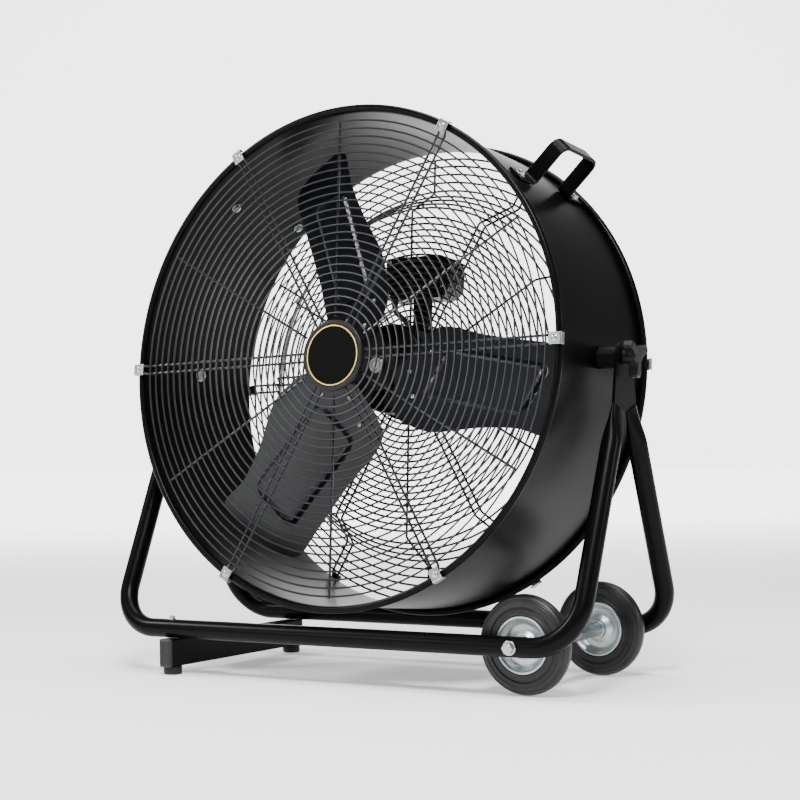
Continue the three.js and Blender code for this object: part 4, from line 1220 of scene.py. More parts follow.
@dataclass
class Wheels:
    """The two pressed wheels with solid tyres, and the axle between the frames."""

    axle_x: float = 269.7
    radius: float = 61.0
    places: dict[str, float] = field(default_factory=lambda: {"front": -114.0, "rear": 87.0})
    bore: float = 6.3
    sleeve_radius: float = 10.0
    welds: int = 4
    weld_radius: float = 21.6
    turning: float = 9000.0

    def rim_profile(self) -> Outline:
        """The pressed rim: rolled lip, deep bowl, flat web and hub flange."""
        outer = [(6.3, 15.0), (11.4, 15.0), (12.0, 14.4), (12.0, 8.2), (14.6, 6.4), (17.0, 4.6)]
        outer += [(19.0, 3.6), (24.2, 3.4), (26.4, 4.2), (28.6, 7.4), (30.6, 10.4), (32.4, 11.6)]
        outer += [(34.0, 12.0), (34.9, 11.4), (34.9, 10.2)]
        return mirrored(rounded(outer, 1.2, 3, False))

    def tyre_profile(self) -> Outline:
        """The tyre: bead ring, recessed band, raised shoulder line and flat tread."""
        side = [(35.2, 9.4), (35.8, 10.4), (38.6, 10.5), (39.2, 9.7), (43.0, 9.7), (43.6, 8.5)]
        side += [(45.0, 8.5), (45.6, 9.9), (50.6, 10.1), (51.2, 10.5), (52.6, 10.5), (53.2, 9.9)]
        side += [(55.2, 9.6), (55.8, 8.6), (56.6, 8.6), (57.2, 8.9), (59.0, 7.0), (60.2, 4.6)]
        side += [(60.0, 3.9), (60.7, 3.4), (61.0, 0.6)]
        return mirrored(rounded(side, 0.35, 2, False))

    def wheel(self, name: str, y: float) -> None:
        """One wheel.

        Args:
            name: Which wheel.
            y: Its middle along the axle.
        """
        bench = Bench(STAND_FRAME, f"wheel_{name}")
        spot = shift(self.axle_x, y, self.radius)
        hub = (self.axle_x * MM, y * MM, self.radius * MM)
        plated = Plating(
            f"zinc_rim_{name}", (0.5, 0.57, 0.62), (0.6, 0.61, 0.58), 0.4, hub, self.turning
        )
        rim = Solid().turned(self.rim_profile(), 72, looped=True)
        for k in range(self.welds):
            turn = 360 / self.welds * k
            rim.joined(self.dimple(turn + 20, 1)).joined(self.dimple(turn + 50, -1))
        rim.moved(spot)
        bench.fit(f"wheel_{name}_disc", rim, plated, [f"wheel_{name}_rim"])
        tyre = Solid().turned(self.tyre_profile(), 96, looped=True).moved(spot)
        bench.fit(f"wheel_{name}_solid_tyre", tyre, TYRE_RUBBER, [f"wheel_{name}_tyre"])

    def dimple(self, degrees: float, way: int) -> Solid:
        """One of the spot welds that hold the two halves of the disc together."""
        profile = [(0, 2.9), (2.1, 2.9), (2.0, 3.7), (1.2, 3.8), (0.7, 3.4), (0, 3.3)]
        spot = Solid().turned([(r, y * way) for r, y in profile], 14)
        return spot.moved(round_drum(degrees) @ shift(self.weld_radius, 0, 0))

    def axle(self) -> None:
        """The axle's two ends, its spacer tube and its collar."""
        head = hex_bolt(7.4, 6.3, 9.0).moved(spin(90, "X")).moved(shift(0, -154.8, 0))
        point = [(0, -161.7), (3.0, -161.7), (3.6, -161.2), (3.6, -156), (0, -156)]
        pin = Solid().turned(point, 20)
        rod = Solid().turned([(0, -155), (5.9, -155), (5.9, 147.1), (0, 147.1)], 28)
        nut = hex_bolt(7.8, 6.9, 9.4).moved(spin(-90, "X")).moved(shift(0, 140.1, 0))
        for name, node, solid in (
            ("axle_bolt", "axle", head.joined(rod).joined(pin)),
            ("axle_lock_nut", "axle_nut", nut),
            ("axle_tube", "axle_spacer", self.sleeve(-98.7, 71.7)),
            ("axle_bush", "axle_collar", self.sleeve(102.3, 114.3)),
        ):
            solid.moved(shift(self.axle_x, 0, self.radius))
            ON_STAND.fit(name, solid, ZINC, [node], 0.25)

    def sleeve(self, low: float, high: float) -> Solid:
        """A sleeve on the axle between two places along Y."""
        inner, outer = self.bore, self.sleeve_radius
        profile = rounded([(inner, low), (outer, low), (outer, high), (inner, high)], 0.6, 2)
        return Solid().turned(profile, 40, looped=True)

    def build(self) -> None:
        """Make both wheels and the axle."""
        for name, y in self.places.items():
            self.wheel(name, y)
        self.axle()


# --------------------------------------------------------------------- drum


@dataclass
class Drum:
    """The shell with its rolled beads, its pivots and its carrying handles."""

    shop: Workshop
    radius: float = 321.0
    wall: float = 1.5
    half_length: float = 117.25
    bead: float = 4.7
    bead_centre: float = 325.0
    seam_half: float = 112.0
    seam_angles: tuple[float, float] = (262.0, 264.4)
    knob_end: float = 374.7
    knob_depth: float = 13.0
    knob_arms: int = 3
    handle_angles: dict[str, float] = field(default_factory=lambda: {"right": 45.3, "left": 134.7})
    handle_rise: float = 65.3
    handle_span: float = 94.0
    handle_centre: float = 19.0
    seat_gap: float = 0.3
    strip: float = 4.0
    strip_width: float = 22.0
    toe: float = 38.0
    bolt_inset: float = 12.0
    bend: float = 15.0

    def shell(self) -> None:
        """The thin wall with a rolled bead at each end."""
        inner, end = self.radius - self.wall, self.half_length
        join = math.degrees(math.acos((self.radius - self.bead_centre) / self.bead))
        bead = arc((self.bead_centre, end), self.bead, 180, -join, 22)
        rear = [(inner, 60.0), (inner, end - 2.5), *bead, (self.radius, 108.0), (self.radius, 50.0)]
        wall = Solid().turned(mirrored(rear), 192, looped=True)
        ON_DRUM.fit("drum_wall", wall, BLACK_PAINT, ["drum_shell"])

    def seam(self) -> None:
        """The lapped seam where the rolled sheet meets, low on the drum."""
        low, high = self.seam_angles
        section = arc((0, 0), self.radius + 0.9, low, high, 4)
        section += arc((0, 0), self.radius - self.wall + 0.2, high, low, 4)
        lap = Solid().prism(section, -self.seam_half, self.seam_half)
        ON_DRUM.fit("drum_seam", lap, BLACK_PAINT, (), 0.3)

    def pivots(self) -> None:
        """Spacer, bolt and clamp knob on each side."""
        spacer = [(5.3, 321.3), (13.8, 321.3), (14.4, 322.0)]
        spacer += [(14.4, 348.3), (13.8, 349.1), (5.3, 349.1)]
        for name, degrees in (("right", 0), ("left", 180)):
            turn = round_drum(degrees) @ spin(-90, "Z")
            tube = Solid().turned(spacer, 56, looped=True).moved(turn)
            ON_DRUM.fit(
                f"pivot_tube_{name}", tube, HUB_PAINT, [f"pivot_spacer_{name}"]
            )
            stud = Solid().turned([(0, 315.0), (4.95, 315.0), (4.95, 368.5), (0, 368.5)], 24)
            head = hex_bolt(8.2, 4.9, 9.0).moved(spin(90, "X")).moved(shift(0, 318.9, 0))
            bolt = stud.joined(head).moved(turn)
            ON_DRUM.fit(f"pivot_stud_{name}", bolt, ZINC, [f"pivot_bolt_{name}"], 0.25)
            Bench(DRUM_FRAME, f"knob_{name}").fit(
                f"tilt_knob_{name}", self.knob(degrees), PLASTIC,
                [f"clamp_knob_{name}"], 1.1,
            )

    def knob(self, degrees: float) -> Solid:
        """A three-armed knob: thick arms, scooped between, on a round hub.

        Args:
            degrees: The pivot's angle round the drum.

        Returns:
            The knob.
        """
        arm = mirrored([(7.6, -5.4), (15.0, -4.7), (24.6, -5.3), (26.9, -3.6)])
        outline: Outline = []
        for k in range(self.knob_arms):
            turn = math.radians(360 // self.knob_arms * k + degrees)
            cosine, sine = math.cos(turn), math.sin(turn)
            outline += [(x * cosine - y * sine, x * sine + y * cosine) for x, y in arm]
        end = self.knob_end
        base = end - self.knob_depth
        levels = ((base, 0.94), (base + 1.4, 1.0), (end - 1.4, 0.98), (end, 0.9))
        star = Solid().skin([
            [Vector((x * share, height, y * share)) for x, y in outline]
            for height, share in levels
        ])
        hub = [(0, 353.8), (9.2, 353.8), (10.0, 354.6), (10.0, 372.0), (8.6, 373.4)]
        star.joined(Solid().turned(hub + [(4.0, 373.9), (0, 373.9)], 36))
        return star.moved(round_drum(degrees) @ spin(-90, "Z") @ spin(90, "Y"))

    def handle_edge(self, inset: float) -> Outline:
        """One edge of the bent strip, as points along Y and out from the axis.

        Args:
            inset: How far inside the outer face.

        Returns:
            The edge from its front toe to its rear toe.
        """
        low = self.radius + self.seat_gap + self.strip - inset
        high = self.radius + self.handle_rise - inset
        half = self.handle_span / 2 - inset
        corner = self.bend - inset
        fold = self.strip + inset
        right = arc((half - corner, high - corner), corner, 90, 0, 10)
        right += arc((half + fold, low + fold), fold, 180, 270, 5)
        right.append((self.handle_span / 2 + self.toe, low))
        return [(-y, r) for y, r in reversed(right)] + right

    def handles(self) -> None:
        """The two carrying handles."""
        outline = self.handle_edge(0.0) + list(reversed(self.handle_edge(self.strip)))
        half = self.strip_width / 2
        for name, degrees in self.handle_angles.items():
            rows = [
                [Vector((r, y + self.handle_centre, z)) for y, r in outline] for z in (-half, half)
            ]
            strip = Solid().skin(rows).moved(round_drum(degrees))
            ON_DRUM.fit(
                f"carry_handle_{name}", strip, BLACK_PAINT, [f"handle_{name}"], 0.9
            )

    def handle_bolts(self) -> None:
        """The bolts of both handles: heads on the feet, ends inside the drum."""
        ends = self.handle_span / 2 + self.toe - self.bolt_inset
        heads, tails = [], []
        for degrees in self.handle_angles.values():
            ray = round_drum(degrees) @ Vector((1, 0, 0))
            for y in (self.handle_centre - ends, self.handle_centre + ends):
                along = Vector((0, y, 0))
                heads.append((ray * (self.radius + self.seat_gap + self.strip) + along, ray))
                tails.append((ray * (self.radius - self.wall) + along, -ray))
        nodes = [f"handle_bolt_{side}_{end}" for side in self.handle_angles for end in ENDS]
        piece = self.shop.screwed("handle_bolt_heads", hex_bolt(5.8, 4.2, 7.6), heads)
        ON_DRUM.tie(piece, nodes)
        piece = self.shop.screwed("handle_bolt_nuts", hex_bolt(5.4, 5.2, 6.6), tails)
        ON_DRUM.tie(piece)

    def build(self) -> None:
        """Make the shell and what is fixed to its outside."""
        self.shell()
        self.seam()
        self.pivots()
        self.handles()
        self.handle_bolts()


# ------------------------------------------------------------------- guards


@dataclass
class Guards:
    """The flat front guard, the dished rear guard, their clips and the badge."""

    shop: Workshop
    roll: float = 1.3
    pairs: int = 6
    pair_gap: float = 10.5
    ring_wire: float = 1.25
    rear_wire: float = 1.5
    spoke_wire: float = 1.65
    sunk: float = 0.3
    plane: float = 118.55
    hairpin_plane: float = 124.05
    hairpin_start: float = 313.5
    hairpin_ramp: float = 6.0
    hairpin_end: float = 321.0
    single_end: float = 310.5
    stops: tuple[float, ...] = (
        120.0, 180.0, 221.0, 224.0, 226.0, 229.0, 259.5, 262.0, 264.0, 267.0, 300.0, 313.0, 316.0,
    )
    front_start: float = 56.2
    front_step: float = 10.5
    front_count: int = 25
    rear_start: float = 70.4
    rear_step: float = 8.6
    rear_count: int = 18
    rear_outer: tuple[float, ...] = (266.0, 278.0, 289.5, 301.0, 311.5)
    dish: float = 58.0
    dish_inner: float = 225.0
    dish_outer: float = 263.0
    clip_face: float = 125.85
    clip_outer: float = 332.3
    clip_length: float = 17.0
    clip_half: float = 7.5
    screw_spot: tuple[float, float] = (323.2, 127.8)
    badge_sides: int = 96

    def front_rings(self) -> Outline:
        """Radius and Y of each ring of the front guard, before the spokes."""
        y = -self.plane - self.ring_wire - self.spoke_wire + self.sunk
        return [(self.front_start + self.front_step * k, y) for k in range(self.front_count)]

    def rear_rings(self) -> Outline:
        """Radius and Y of each ring of the rear guard, on its dished spokes."""
        lift = self.rear_wire + self.spoke_wire - self.sunk
        flat = [self.rear_start + self.rear_step * k for k in range(self.rear_count)]
        width = self.dish_outer - self.dish_inner
        slope = [self.dish_inner + width * k / 5 for k in range(1, 5)]
        return [(r, self.rear_line(r).y + lift) for r in (*flat, *slope, *self.rear_outer)]

    def hairpin(self, radius: float) -> float:
        """How far the spokes stand out at a radius, towards their hairpin ends."""
        share = clamped((radius - self.hairpin_start) / self.hairpin_ramp)
        return (self.hairpin_plane - self.plane) * share

    def front_line(self, radius: float) -> Vector:
        """A point of the front spokes at a radius."""
        return Vector((radius, -self.plane - self.hairpin(radius), 0))

    def rear_line(self, radius: float) -> Vector:
        """A point of the rear spokes at a radius."""
        dip = clamped((radius - self.dish_inner) / (self.dish_outer - self.dish_inner))
        return Vector((radius, self.plane - self.dish * (1 - dip) + self.hairpin(radius), 0))

    def spokes(
        self, line: Callable[[float], Vector], pair_start: float, single_start: float
    ) -> tuple[list[Vector], list[Vector]]:
        """The lines of one double spoke and of one single spoke.

        Args:
            line: Gives a point of the spoke at a radius.
            pair_start: Radius where the double spoke starts.
            single_start: Radius where the single spoke starts.

        Returns:
            The double spoke's line and the single spoke's line.
        """
        half = self.pair_gap / 2
        reach = [line(r) for r in (pair_start, *self.stops, self.hairpin_end)]
        out = [spot + Vector((0, 0, -half)) for spot in reach]
        back = [spot + Vector((0, 0, half)) for spot in reversed(reach)]
        turn = [reach[-1] + Vector((x, 0, z)) for x, z in arc((0, 0), half, -75, 75, 10)]
        single = [line(r) for r in (single_start, *self.stops[:-3], self.single_end)]
        return out + turn + back, single

    def guard(
        self, name: str, rings: Outline, wire: float, line: Callable[[float], Vector],
        starts: tuple[float, float],
    ) -> None:
        """One whole guard.

        Args:
            name: front or rear.
            rings: Radius and Y of each ring.
            wire: The rings' wire radius.
            line: Gives a point of a spoke at a radius.
            starts: Radii where the double and the single spokes start.
        """
        piece = self.shop.ringed(f"{name}_guard_rings", rings, wire, WIRE_PAINT)
        ON_DRUM.tie(piece, [f"{name}_guard"])
        rolls = (self.roll, self.roll + 180 / self.pairs)
        for kind, spoke, roll in zip(("pairs", "spokes"), self.spokes(line, *starts), rolls):
            piece = self.shop.followed(
                f"{name}_guard_{kind}", [spoke], self.spoke_wire, WIRE_PAINT,
                count=self.pairs, roll=roll,
            )
            ON_DRUM.tie(piece)

    def clip(self, end: int) -> Solid:
        """A folded zinc clip: a tab over the hairpin and a lip outside the bead.

        Args:
            end: -1 for the front or 1 for the rear.

        Returns:
            The clip, on the +X radius.
        """
        face, outer = self.clip_face, self.clip_outer
        inner = outer - self.clip_length
        bent = [(inner, face), (outer - 2, face), (outer - 2, face - 7), (outer, face - 7)]
        bent += [(outer, face + 0.6), (outer - 1.4, face + 2), (inner, face + 2)]
        rows = [
            [Vector((r, y * end, z)) for r, y in bent] for z in (-self.clip_half, self.clip_half)
        ]
        return Solid().skin(rows)

    def clips(self) -> None:
        """Six clips and their screws at each end."""
        radius, height = self.screw_spot
        for name, end in ENDS.items():
            nodes = [f"clip_{name}_{k}" for k in range(1, self.pairs + 1)]
            piece = self.shop.arrayed(
                f"{name}_clips", self.clip(end), ZINC, self.pairs, self.roll, 0.6
            )
            ON_DRUM.tie(piece, nodes)
            spots = []
            for k in range(self.pairs):
                turn = round_drum(self.roll + 360 * k / self.pairs)
                spots.append((turn @ Vector((radius, height * end, 0)), Vector((0, end, 0))))
            piece = self.shop.screwed(f"{name}_clip_screws", pan_screw(4.4, 1.4), spots)
            ON_DRUM.tie(piece)

    def badge(self) -> None:
        """The badge holder, its plain label and the thin ring round it."""
        holder = [(0, -120.35), (46.5, -120.35), (46.5, -123.4), (45.6, -124.9), (43.2, -125.35)]
        holder += [(41.0, -125.1), (40.5, -124.25), (0, -124.25)]
        cap = Solid().turned(rounded(holder, 0.8, 3, False), self.badge_sides)
        ON_DRUM.fit("badge_holder", cap, PLASTIC, ["badge_cap"], 0, 50)
        plate = [(0, -124.55), (40.0, -124.55), (40.0, -125.1), (39.6, -125.3), (0, -125.3)]
        plain = Solid().turned(plate, self.badge_sides)
        ON_DRUM.fit("badge_plate", plain, LABEL, ["badge_label"])
        band = [(37.9, -125.28), (39.5, -125.28), (39.5, -125.35), (37.9, -125.35)]
        ring = Solid().turned(band, self.badge_sides, looped=True)
        ON_DRUM.fit("badge_ring", ring, GOLD)

    def build(self) -> None:
        """Make both guards and what is fixed to them."""
        self.guard("front", self.front_rings(), self.ring_wire, self.front_line, (42.0, 52.0))
        self.guard("rear", self.rear_rings(), self.rear_wire, self.rear_line, (23.0, 27.0))
        self.clips()
        self.badge()


# ----------------------------------------------------------------- impeller


def curve_at(points: Points, where: float) -> float:
    """A smooth line through points, read at a place.

    Args:
        points: Places and values, in order.
        where: The place.

    Returns:
        The value there.
    """
    last = len(points) - 2
    i = 0
    while i < last and where > points[i + 1][0]:
        i += 1
    (x0, y0), (x1, y1) = points[i], points[i + 1]
    before = points[max(i - 1, 0)]
    after = points[min(i + 2, len(points) - 1)]
    span = x1 - x0
    m0 = (y1 - before[1]) / (x1 - before[0]) * span
    m1 = (after[1] - y0) / (after[0] - x0) * span
    t = clamped((where - x0) / span)
    cubic = (2 * t ** 3 - 3 * t ** 2 + 1) * y0 + (t ** 3 - 2 * t ** 2 + t) * m0
    return cubic + (3 * t ** 2 - 2 * t ** 3) * y1 + (t ** 3 - t ** 2) * m1


@dataclass
class Impeller:
    """Three pressed blades on a three-armed hub, and the shaft's end."""

    shop: Workshop
    angles: tuple[float, ...] = (-11.0, 109.0, 229.0)
    plane: float = -30.0
    pitch: float = 22.0
    camber: float = 4.0
    half_chord: float = 65.0
    thickness: float = 2.0
    root: float = 38.0
    tip: float = 298.0
    stations: int = 130
    crowding: float = 1.15
    columns: int = 72
    panel: tuple[float, float, float, float] = (93.0, 250.0, 36.0, 6.0)
    panel_corner: float = 16.0
    panel_slant: float = 0.15
    ramp: float = 5.0
    rise: float = 3.6
    bead: float = 1.5
    bead_width: float = 2.6
    sweep_start: float = 70.0
    sweep_length: float = 210.0
    leading_sweep: float = 14.0
    trailing_sweep: float = 5.0
    trailing: Points = (
        (38, -9), (52, -41), (68, -61), (95, -70), (130, -73), (193, -57), (245, -50),
        (280, -54), (291, -50), (298, -30),
    )
    leading: Points = (
        (38, -1), (52, 36), (65, 60), (92, 67), (144, 61), (190, 59), (239, 58),
        (277, 56), (291, 42), (298, 14),
    )
    arm: tuple[Triple, ...] = (
        (20.0, 15.0, 0.0), (34.0, 19.0, 0.35), (48.0, 24.0, 1.0), (70.0, 27.0, 1.0),
        (86.0, 30.0, 1.0), (91.0, 27.0, 1.0),
    )
    arm_root: float = -17.0
    arm_gap: float = 2.3
    arm_thickness: float = 3.0
    arm_columns: int = 12
    screw_spots: Points = ((78, 31), (78, -31), (57, 0))

    def sheet(self, side: float) -> float:
        """Y of the blade's front face at a sideways place, without the panel."""
        camber = self.camber * (1 - (side / self.half_chord) ** 2)
        return self.plane + math.tan(math.radians(self.pitch)) * side + camber

    def lift(self, along: float, side: float) -> float:
        """How far the raised panel, with the bead along its border, stands out at a place.

        Args:
            along: Distance from the axis.
            side: Sideways place.

        Returns:
            The rise in millimetres.
        """
        start, end, half, offset = self.panel
        corner = self.panel_corner
        slanted = along - self.panel_slant * (side - offset)
        x = abs(slanted - (start + end) / 2) - ((end - start) / 2 - corner)
        z = abs(side - offset) - (half - corner)
        outside = math.hypot(max(x, 0.0), max(z, 0.0)) + min(max(x, z), 0.0) - corner
        bead = math.exp(-((outside + self.ramp) / self.bead_width) ** 2)
        return self.rise * eased(-outside / self.ramp) + self.bead * bead

    def face(self, along: float, side: float) -> Vector:
        """A point of the blade's front face."""
        return Vector((along, self.sheet(side) - self.lift(along, side), side))

    def blade(self, degrees: float) -> Solid:
        """One blade at an angle round the axis."""
        rows = []
        for k in range(self.stations + 1):
            left = (1 - k / self.stations) ** self.crowding
            along = self.root + (self.tip - self.root) * (1 - left)
            share = clamped((along - self.sweep_start) / self.sweep_length)
            low = curve_at(self.trailing, along) + self.trailing_sweep * share
            high = curve_at(self.leading, along) + self.leading_sweep * share
            chord = high - low
            front = [
                self.face(along, low + chord * i / self.columns) for i in range(self.columns + 1)
            ]
            back = [spot + Vector((0, self.thickness, 0)) for spot in reversed(front)]
            rows.append(front + back)
        return Solid().skin(rows).moved(round_drum(degrees))

    def blades(self) -> None:
        """The three blades."""
        for k, degrees in enumerate(self.angles, start=1):
            blade = self.blade(degrees)
            ON_IMPELLER.fit(
                f"pressed_blade_{k}", blade, BLADE_PAINT, [f"blade_{k}"], 0, 30
            )

    def spider(self) -> None:
        """The hub disc and the arm behind each blade."""
        disc = [(6.3, -19.0), (15.0, -19.0), (17.0, -17.4), (29.0, -17.4), (31.0, -19.0)]
        disc += [(34.0, -18.4), (34.0, -11.0), (6.3, -11.0)]
        solid = Solid().turned(rounded(disc, 0.9, 3), 64, looped=True)
        rows = []
        for along, half, blend in self.arm:
            front = []
            for i in range(self.arm_columns + 1):
                side = half * (2 * i / self.arm_columns - 1)
                rise = self.sheet(side) + self.arm_gap - self.arm_root
                front.append(Vector((along, self.arm_root + rise * blend, side)))
            back = [spot + Vector((0, self.arm_thickness, 0)) for spot in reversed(front)]
            rows.append(front + back)
        for degrees in self.angles:
            solid.joined(Solid().skin(rows).moved(round_drum(degrees)))
        ON_IMPELLER.fit("hub_spider", solid, HUB_PAINT, ["impeller_hub"], 0.3)

    def shaft(self) -> None:
        """The shaft's collar before the hub, with a centre hole and a slot ring."""
        profile = [(0, -22.6), (1.4, -22.6), (2.2, -23.3), (5.4, -23.3), (6.2, -22.5)]
        profile += [(7.2, -22.5), (7.8, -23.3), (10.0, -23.3), (11.0, -22.5), (11.0, -19.3)]
        profile += [(6.0, -19.3), (6.0, 3.4), (0, 3.4)]
        solid = Solid().turned(profile, 48)
        ON_IMPELLER.fit("shaft_end", solid, STEEL, ["motor_shaft"], 0.15)

    def screws(self) -> None:
        """Three bright screws through each blade into its arm."""
        normal = Vector((0, -1, math.tan(math.radians(self.pitch)))).normalized()
        spots = []
        for degrees in self.angles:
            turn = round_drum(degrees)
            spots += [(turn @ self.face(*spot), turn @ normal) for spot in self.screw_spots]
        piece = self.shop.screwed("blade_screws", pan_screw(3.6, 2.2), spots)
        ON_IMPELLER.tie(piece)

    def build(self) -> None:
        """Make every piece that turns with the shaft."""
        self.blades()
        self.spider()
        self.shaft()
        self.screws()


# -------------------------------------------------------- motor and controls


@dataclass
class Drive:
    """The motor, its mount and post, and the control box on top."""

    shop: Workshop
    motor: float = 61.0
    motor_front: float = -8.25
    motor_back: float = 55.75
    ribs: int = 12
    boss: float = 17.0
    post_half: float = 11.5
    post_face: float = 82.05
    post_depth: float = 14.0
    flange: float = 3.0
    flange_depth: float = 6.0
    box_left: float = -60.0
    box_right: float = 45.0
    box_low: float = 107.0
    box_high: float = 167.0
    box_back: float = 125.05
    box_corner: float = 4.0
    nose: float = 20.0
    rib_span: tuple[float, float] = (-54.0, 18.0)
    rib_heights: tuple[float, ...] = (121.0, 129.0, 137.0, 145.0, 153.0)
    screw_spots: Points = ((33, 150), (-53, 161), (-53, 113), (33, 122))
    gland_x: float = -50.0
    gland_y: float = 94.05
    lead_radius: float = 4.0
    lead_steps: int = 6
    lead_stops: tuple[Triple, ...] = (
        (-50, 94.05, 99.9), (-50, 94.05, 95.7), (-44, 93.05, 88.7), (-26, 89.05, 74.7),
        (-18.5, 85.05, 57.7), (-23.5, 75.05, 41.7), (-36, 68.05, 35.0), (-37, 64.05, 34.0),
        (-37, 59.1, 34.0),
    )

    def motor_body(self) -> None:
        """The motor: a domed bell with ribs on its front, a seam and a plain can."""
        f, b, r = self.motor_front, self.motor_back, self.motor
        profile = [(0, f + 12), (6.3, f + 12), (6.3, f), (13, f), (14.5, f + 0.8), (18, f + 4)]
        profile += [(40, f + 8), *arc((r - 12, f + 22), 12, -60, 0, 8), (r, f + 30)]
        profile += [(r - 0.9, f + 31), (r - 0.9, f + 33), (r, f + 34), (r, b - 4), (r - 4, b)]
        can = Solid().turned([*profile, (0, b)], 88)
        ON_DRUM.fit("motor_can", can, HUB_PAINT, ["motor_body"])
        section = [(22.0, -1.5), (40.0, -1.5), (40.0, 1.5), (22.0, 1.5)]
        rib = Solid().prism(section, f + 4.0, f + 9.2)
        piece = self.shop.arrayed("motor_ribs", rib, HUB_PAINT, self.ribs, 0, 0.8)
        ON_DRUM.tie(piece)

    def mounting(self) -> None:
        """The disc behind the motor, its boss and the post."""
        boss, half, face = self.boss, self.post_half, self.post_face
        disc = [(0, 56.05), (64.5, 56.05), (66, 57.0), (66, 58.4), (65.4, 58.75), (boss, 58.75)]
        solid = Solid().turned(disc + [(boss, 83), (0, 83)], 72)
        reach = math.degrees(math.acos(half / boss))
        top = self.box_low - 0.3
        outline = [(half, top), (-half, top)] + arc((0, 0), boss, 180 - reach, 360 + reach, 24)
        solid.joined(Solid().prism(outline, face + 4.0, face + self.post_depth))
        for x in (-half, half - self.flange):
            edge = x + self.flange
            section = [(x, 12.0), (edge, 12.0), (edge, top), (x, top)]
            solid.joined(Solid().prism(section, face, face + self.flange_depth))
        ON_DRUM.fit("post_and_mount", solid, BLACK_PAINT, ["motor_mount"], 0.6)

    def box_outline(self, inset: float) -> Outline:
        """The box's outline in X and Z, square at the left and round at the right."""
        right, left = self.box_right - self.nose, self.box_left + self.box_corner
        nose, corner = self.nose - inset, self.box_corner - inset
        outline = arc((right, self.box_low + self.nose), nose, -90, 0, 14)
        outline += arc((right, self.box_high - self.nose), nose, 0, 90, 14)
        outline += arc((left, self.box_high - self.box_corner), corner, 90, 180, 5)
        return outline + arc((left, self.box_low + self.box_corner), corner, 180, 270, 5)

    def slab(self, levels: Sequence[tuple[float, float]]) -> Solid:
        """A slab of the box's outline, by the Y and the inset of each level."""
        return Solid().skin([
            [Vector((x, y, z)) for x, z in self.box_outline(inset)] for y, inset in levels
        ])

    def box(self) -> None:
        """The cover, the box behind it, the cover's ribs and its screws."""
        face, back = self.post_face, self.box_back
        cover = self.slab([(face, 2.2), (face + 0.5, 0.9), (face + 1.6, 0.0), (face + 4.0, 0.0)])
        ON_DRUM.fit("box_lid", cover, PLASTIC, ["box_cover"], 0, 50)
        front_edge = [(face + 4.3, 0.8), (face + 5.0, 0.4)]
        body = self.slab(front_edge + [(back - 1.8, 0.0), (back - 0.5, 0.7), (back, 2.0)])
        neck = upright(Solid().turned([(0, 3), (4.6, 3), (4.6, 7.2), (0, 7.2)], 24))
        under = shift(self.gland_x, self.gland_y, self.box_low + 0.2) @ spin(180, "X")
        body.joined(hex_bolt(6.0, 3.2, 6.4).joined(neck).moved(under))
        ON_DRUM.fit("switch_box", body, PLASTIC, ["control_box"], 0, 50)
        lines = [[Vector((x, face + 0.1, z)) for x in self.rib_span] for z in self.rib_heights]
        ribs = self.shop.followed("box_lid_ribs", lines, 0.8, PLASTIC)
        ON_DRUM.tie(ribs)
        front = Vector((0, -1, 0))
        spots = [(Vector((x, face + 0.2, z)), front) for x, z in self.screw_spots]
        ON_DRUM.tie(self.shop.screwed("box_lid_screws", pan_screw(2.8, 1.4), spots))

    def lead(self) -> None:
        """The motor lead from under the box, past the post, to the mount."""
        stops = [Vector(stop) for stop in self.lead_stops]
        line: list[Vector] = []
        for i in range(len(stops) - 1):
            p0, p1, p2 = stops[max(i - 1, 0)], stops[i], stops[i + 1]
            p3 = stops[min(i + 2, len(stops) - 1)]
            for k in range(self.lead_steps):
                t = k / self.lead_steps
                curve = 2 * p1 + (p2 - p0) * t + (2 * p0 - 5 * p1 + 4 * p2 - p3) * t * t
                line.append(0.5 * (curve + (3 * p1 - p0 - 3 * p2 + p3) * t ** 3))
        line.append(stops[-1])
        piece = self.shop.followed(
            "motor_lead_sleeve", [line], self.lead_radius, RUBBER, sides=14
        )
        ON_DRUM.tie(piece, ["motor_lead"])

    def rear_controls(self) -> None:
        """The cord gland and the speed knob on the rear of the box."""
        back = self.box_back + 0.3
        gland = Solid().prism(hexagon(8.0), back, back + 5.6)
        sleeve = [(0, 5), (6.6, 5), (6.6, 7), (5.7, 8), (5.7, 13), (5.2, 14), (3.6, 14), (3.4, 9)]
        sleeve = [(r, back + y) for r, y in (*sleeve, (0, 9))]
        gland.joined(Solid().turned(sleeve, 28)).moved(shift(22, 0, 119.0))
        ON_DRUM.fit("cord_outlet", gland, PLASTIC, ["cord_gland"], 0.4)
        skirt = [(0, back), (15.0, back), (15.0, back + 4.4), (13.4, back + 7.2), (0, back + 7.2)]
        grip = Solid().prism(block(3.5, 13.4, 2.6), back + 5, back + 17.9)
        knob = Solid().turned(skirt, 48).joined(grip).moved(shift(-16, 0, 132.5))
        bench = Bench(DRUM_FRAME, "speed_knob")
        bench.fit("speed_dial", knob, PLASTIC, ["speed_knob"], 0.5)

    def build(self) -> None:
        """Make the motor and everything mounted with it."""
        self.motor_body()
        self.mounting()
        self.box()
        self.lead()
        self.rear_controls()


# ------------------------------------------------------------------- studio


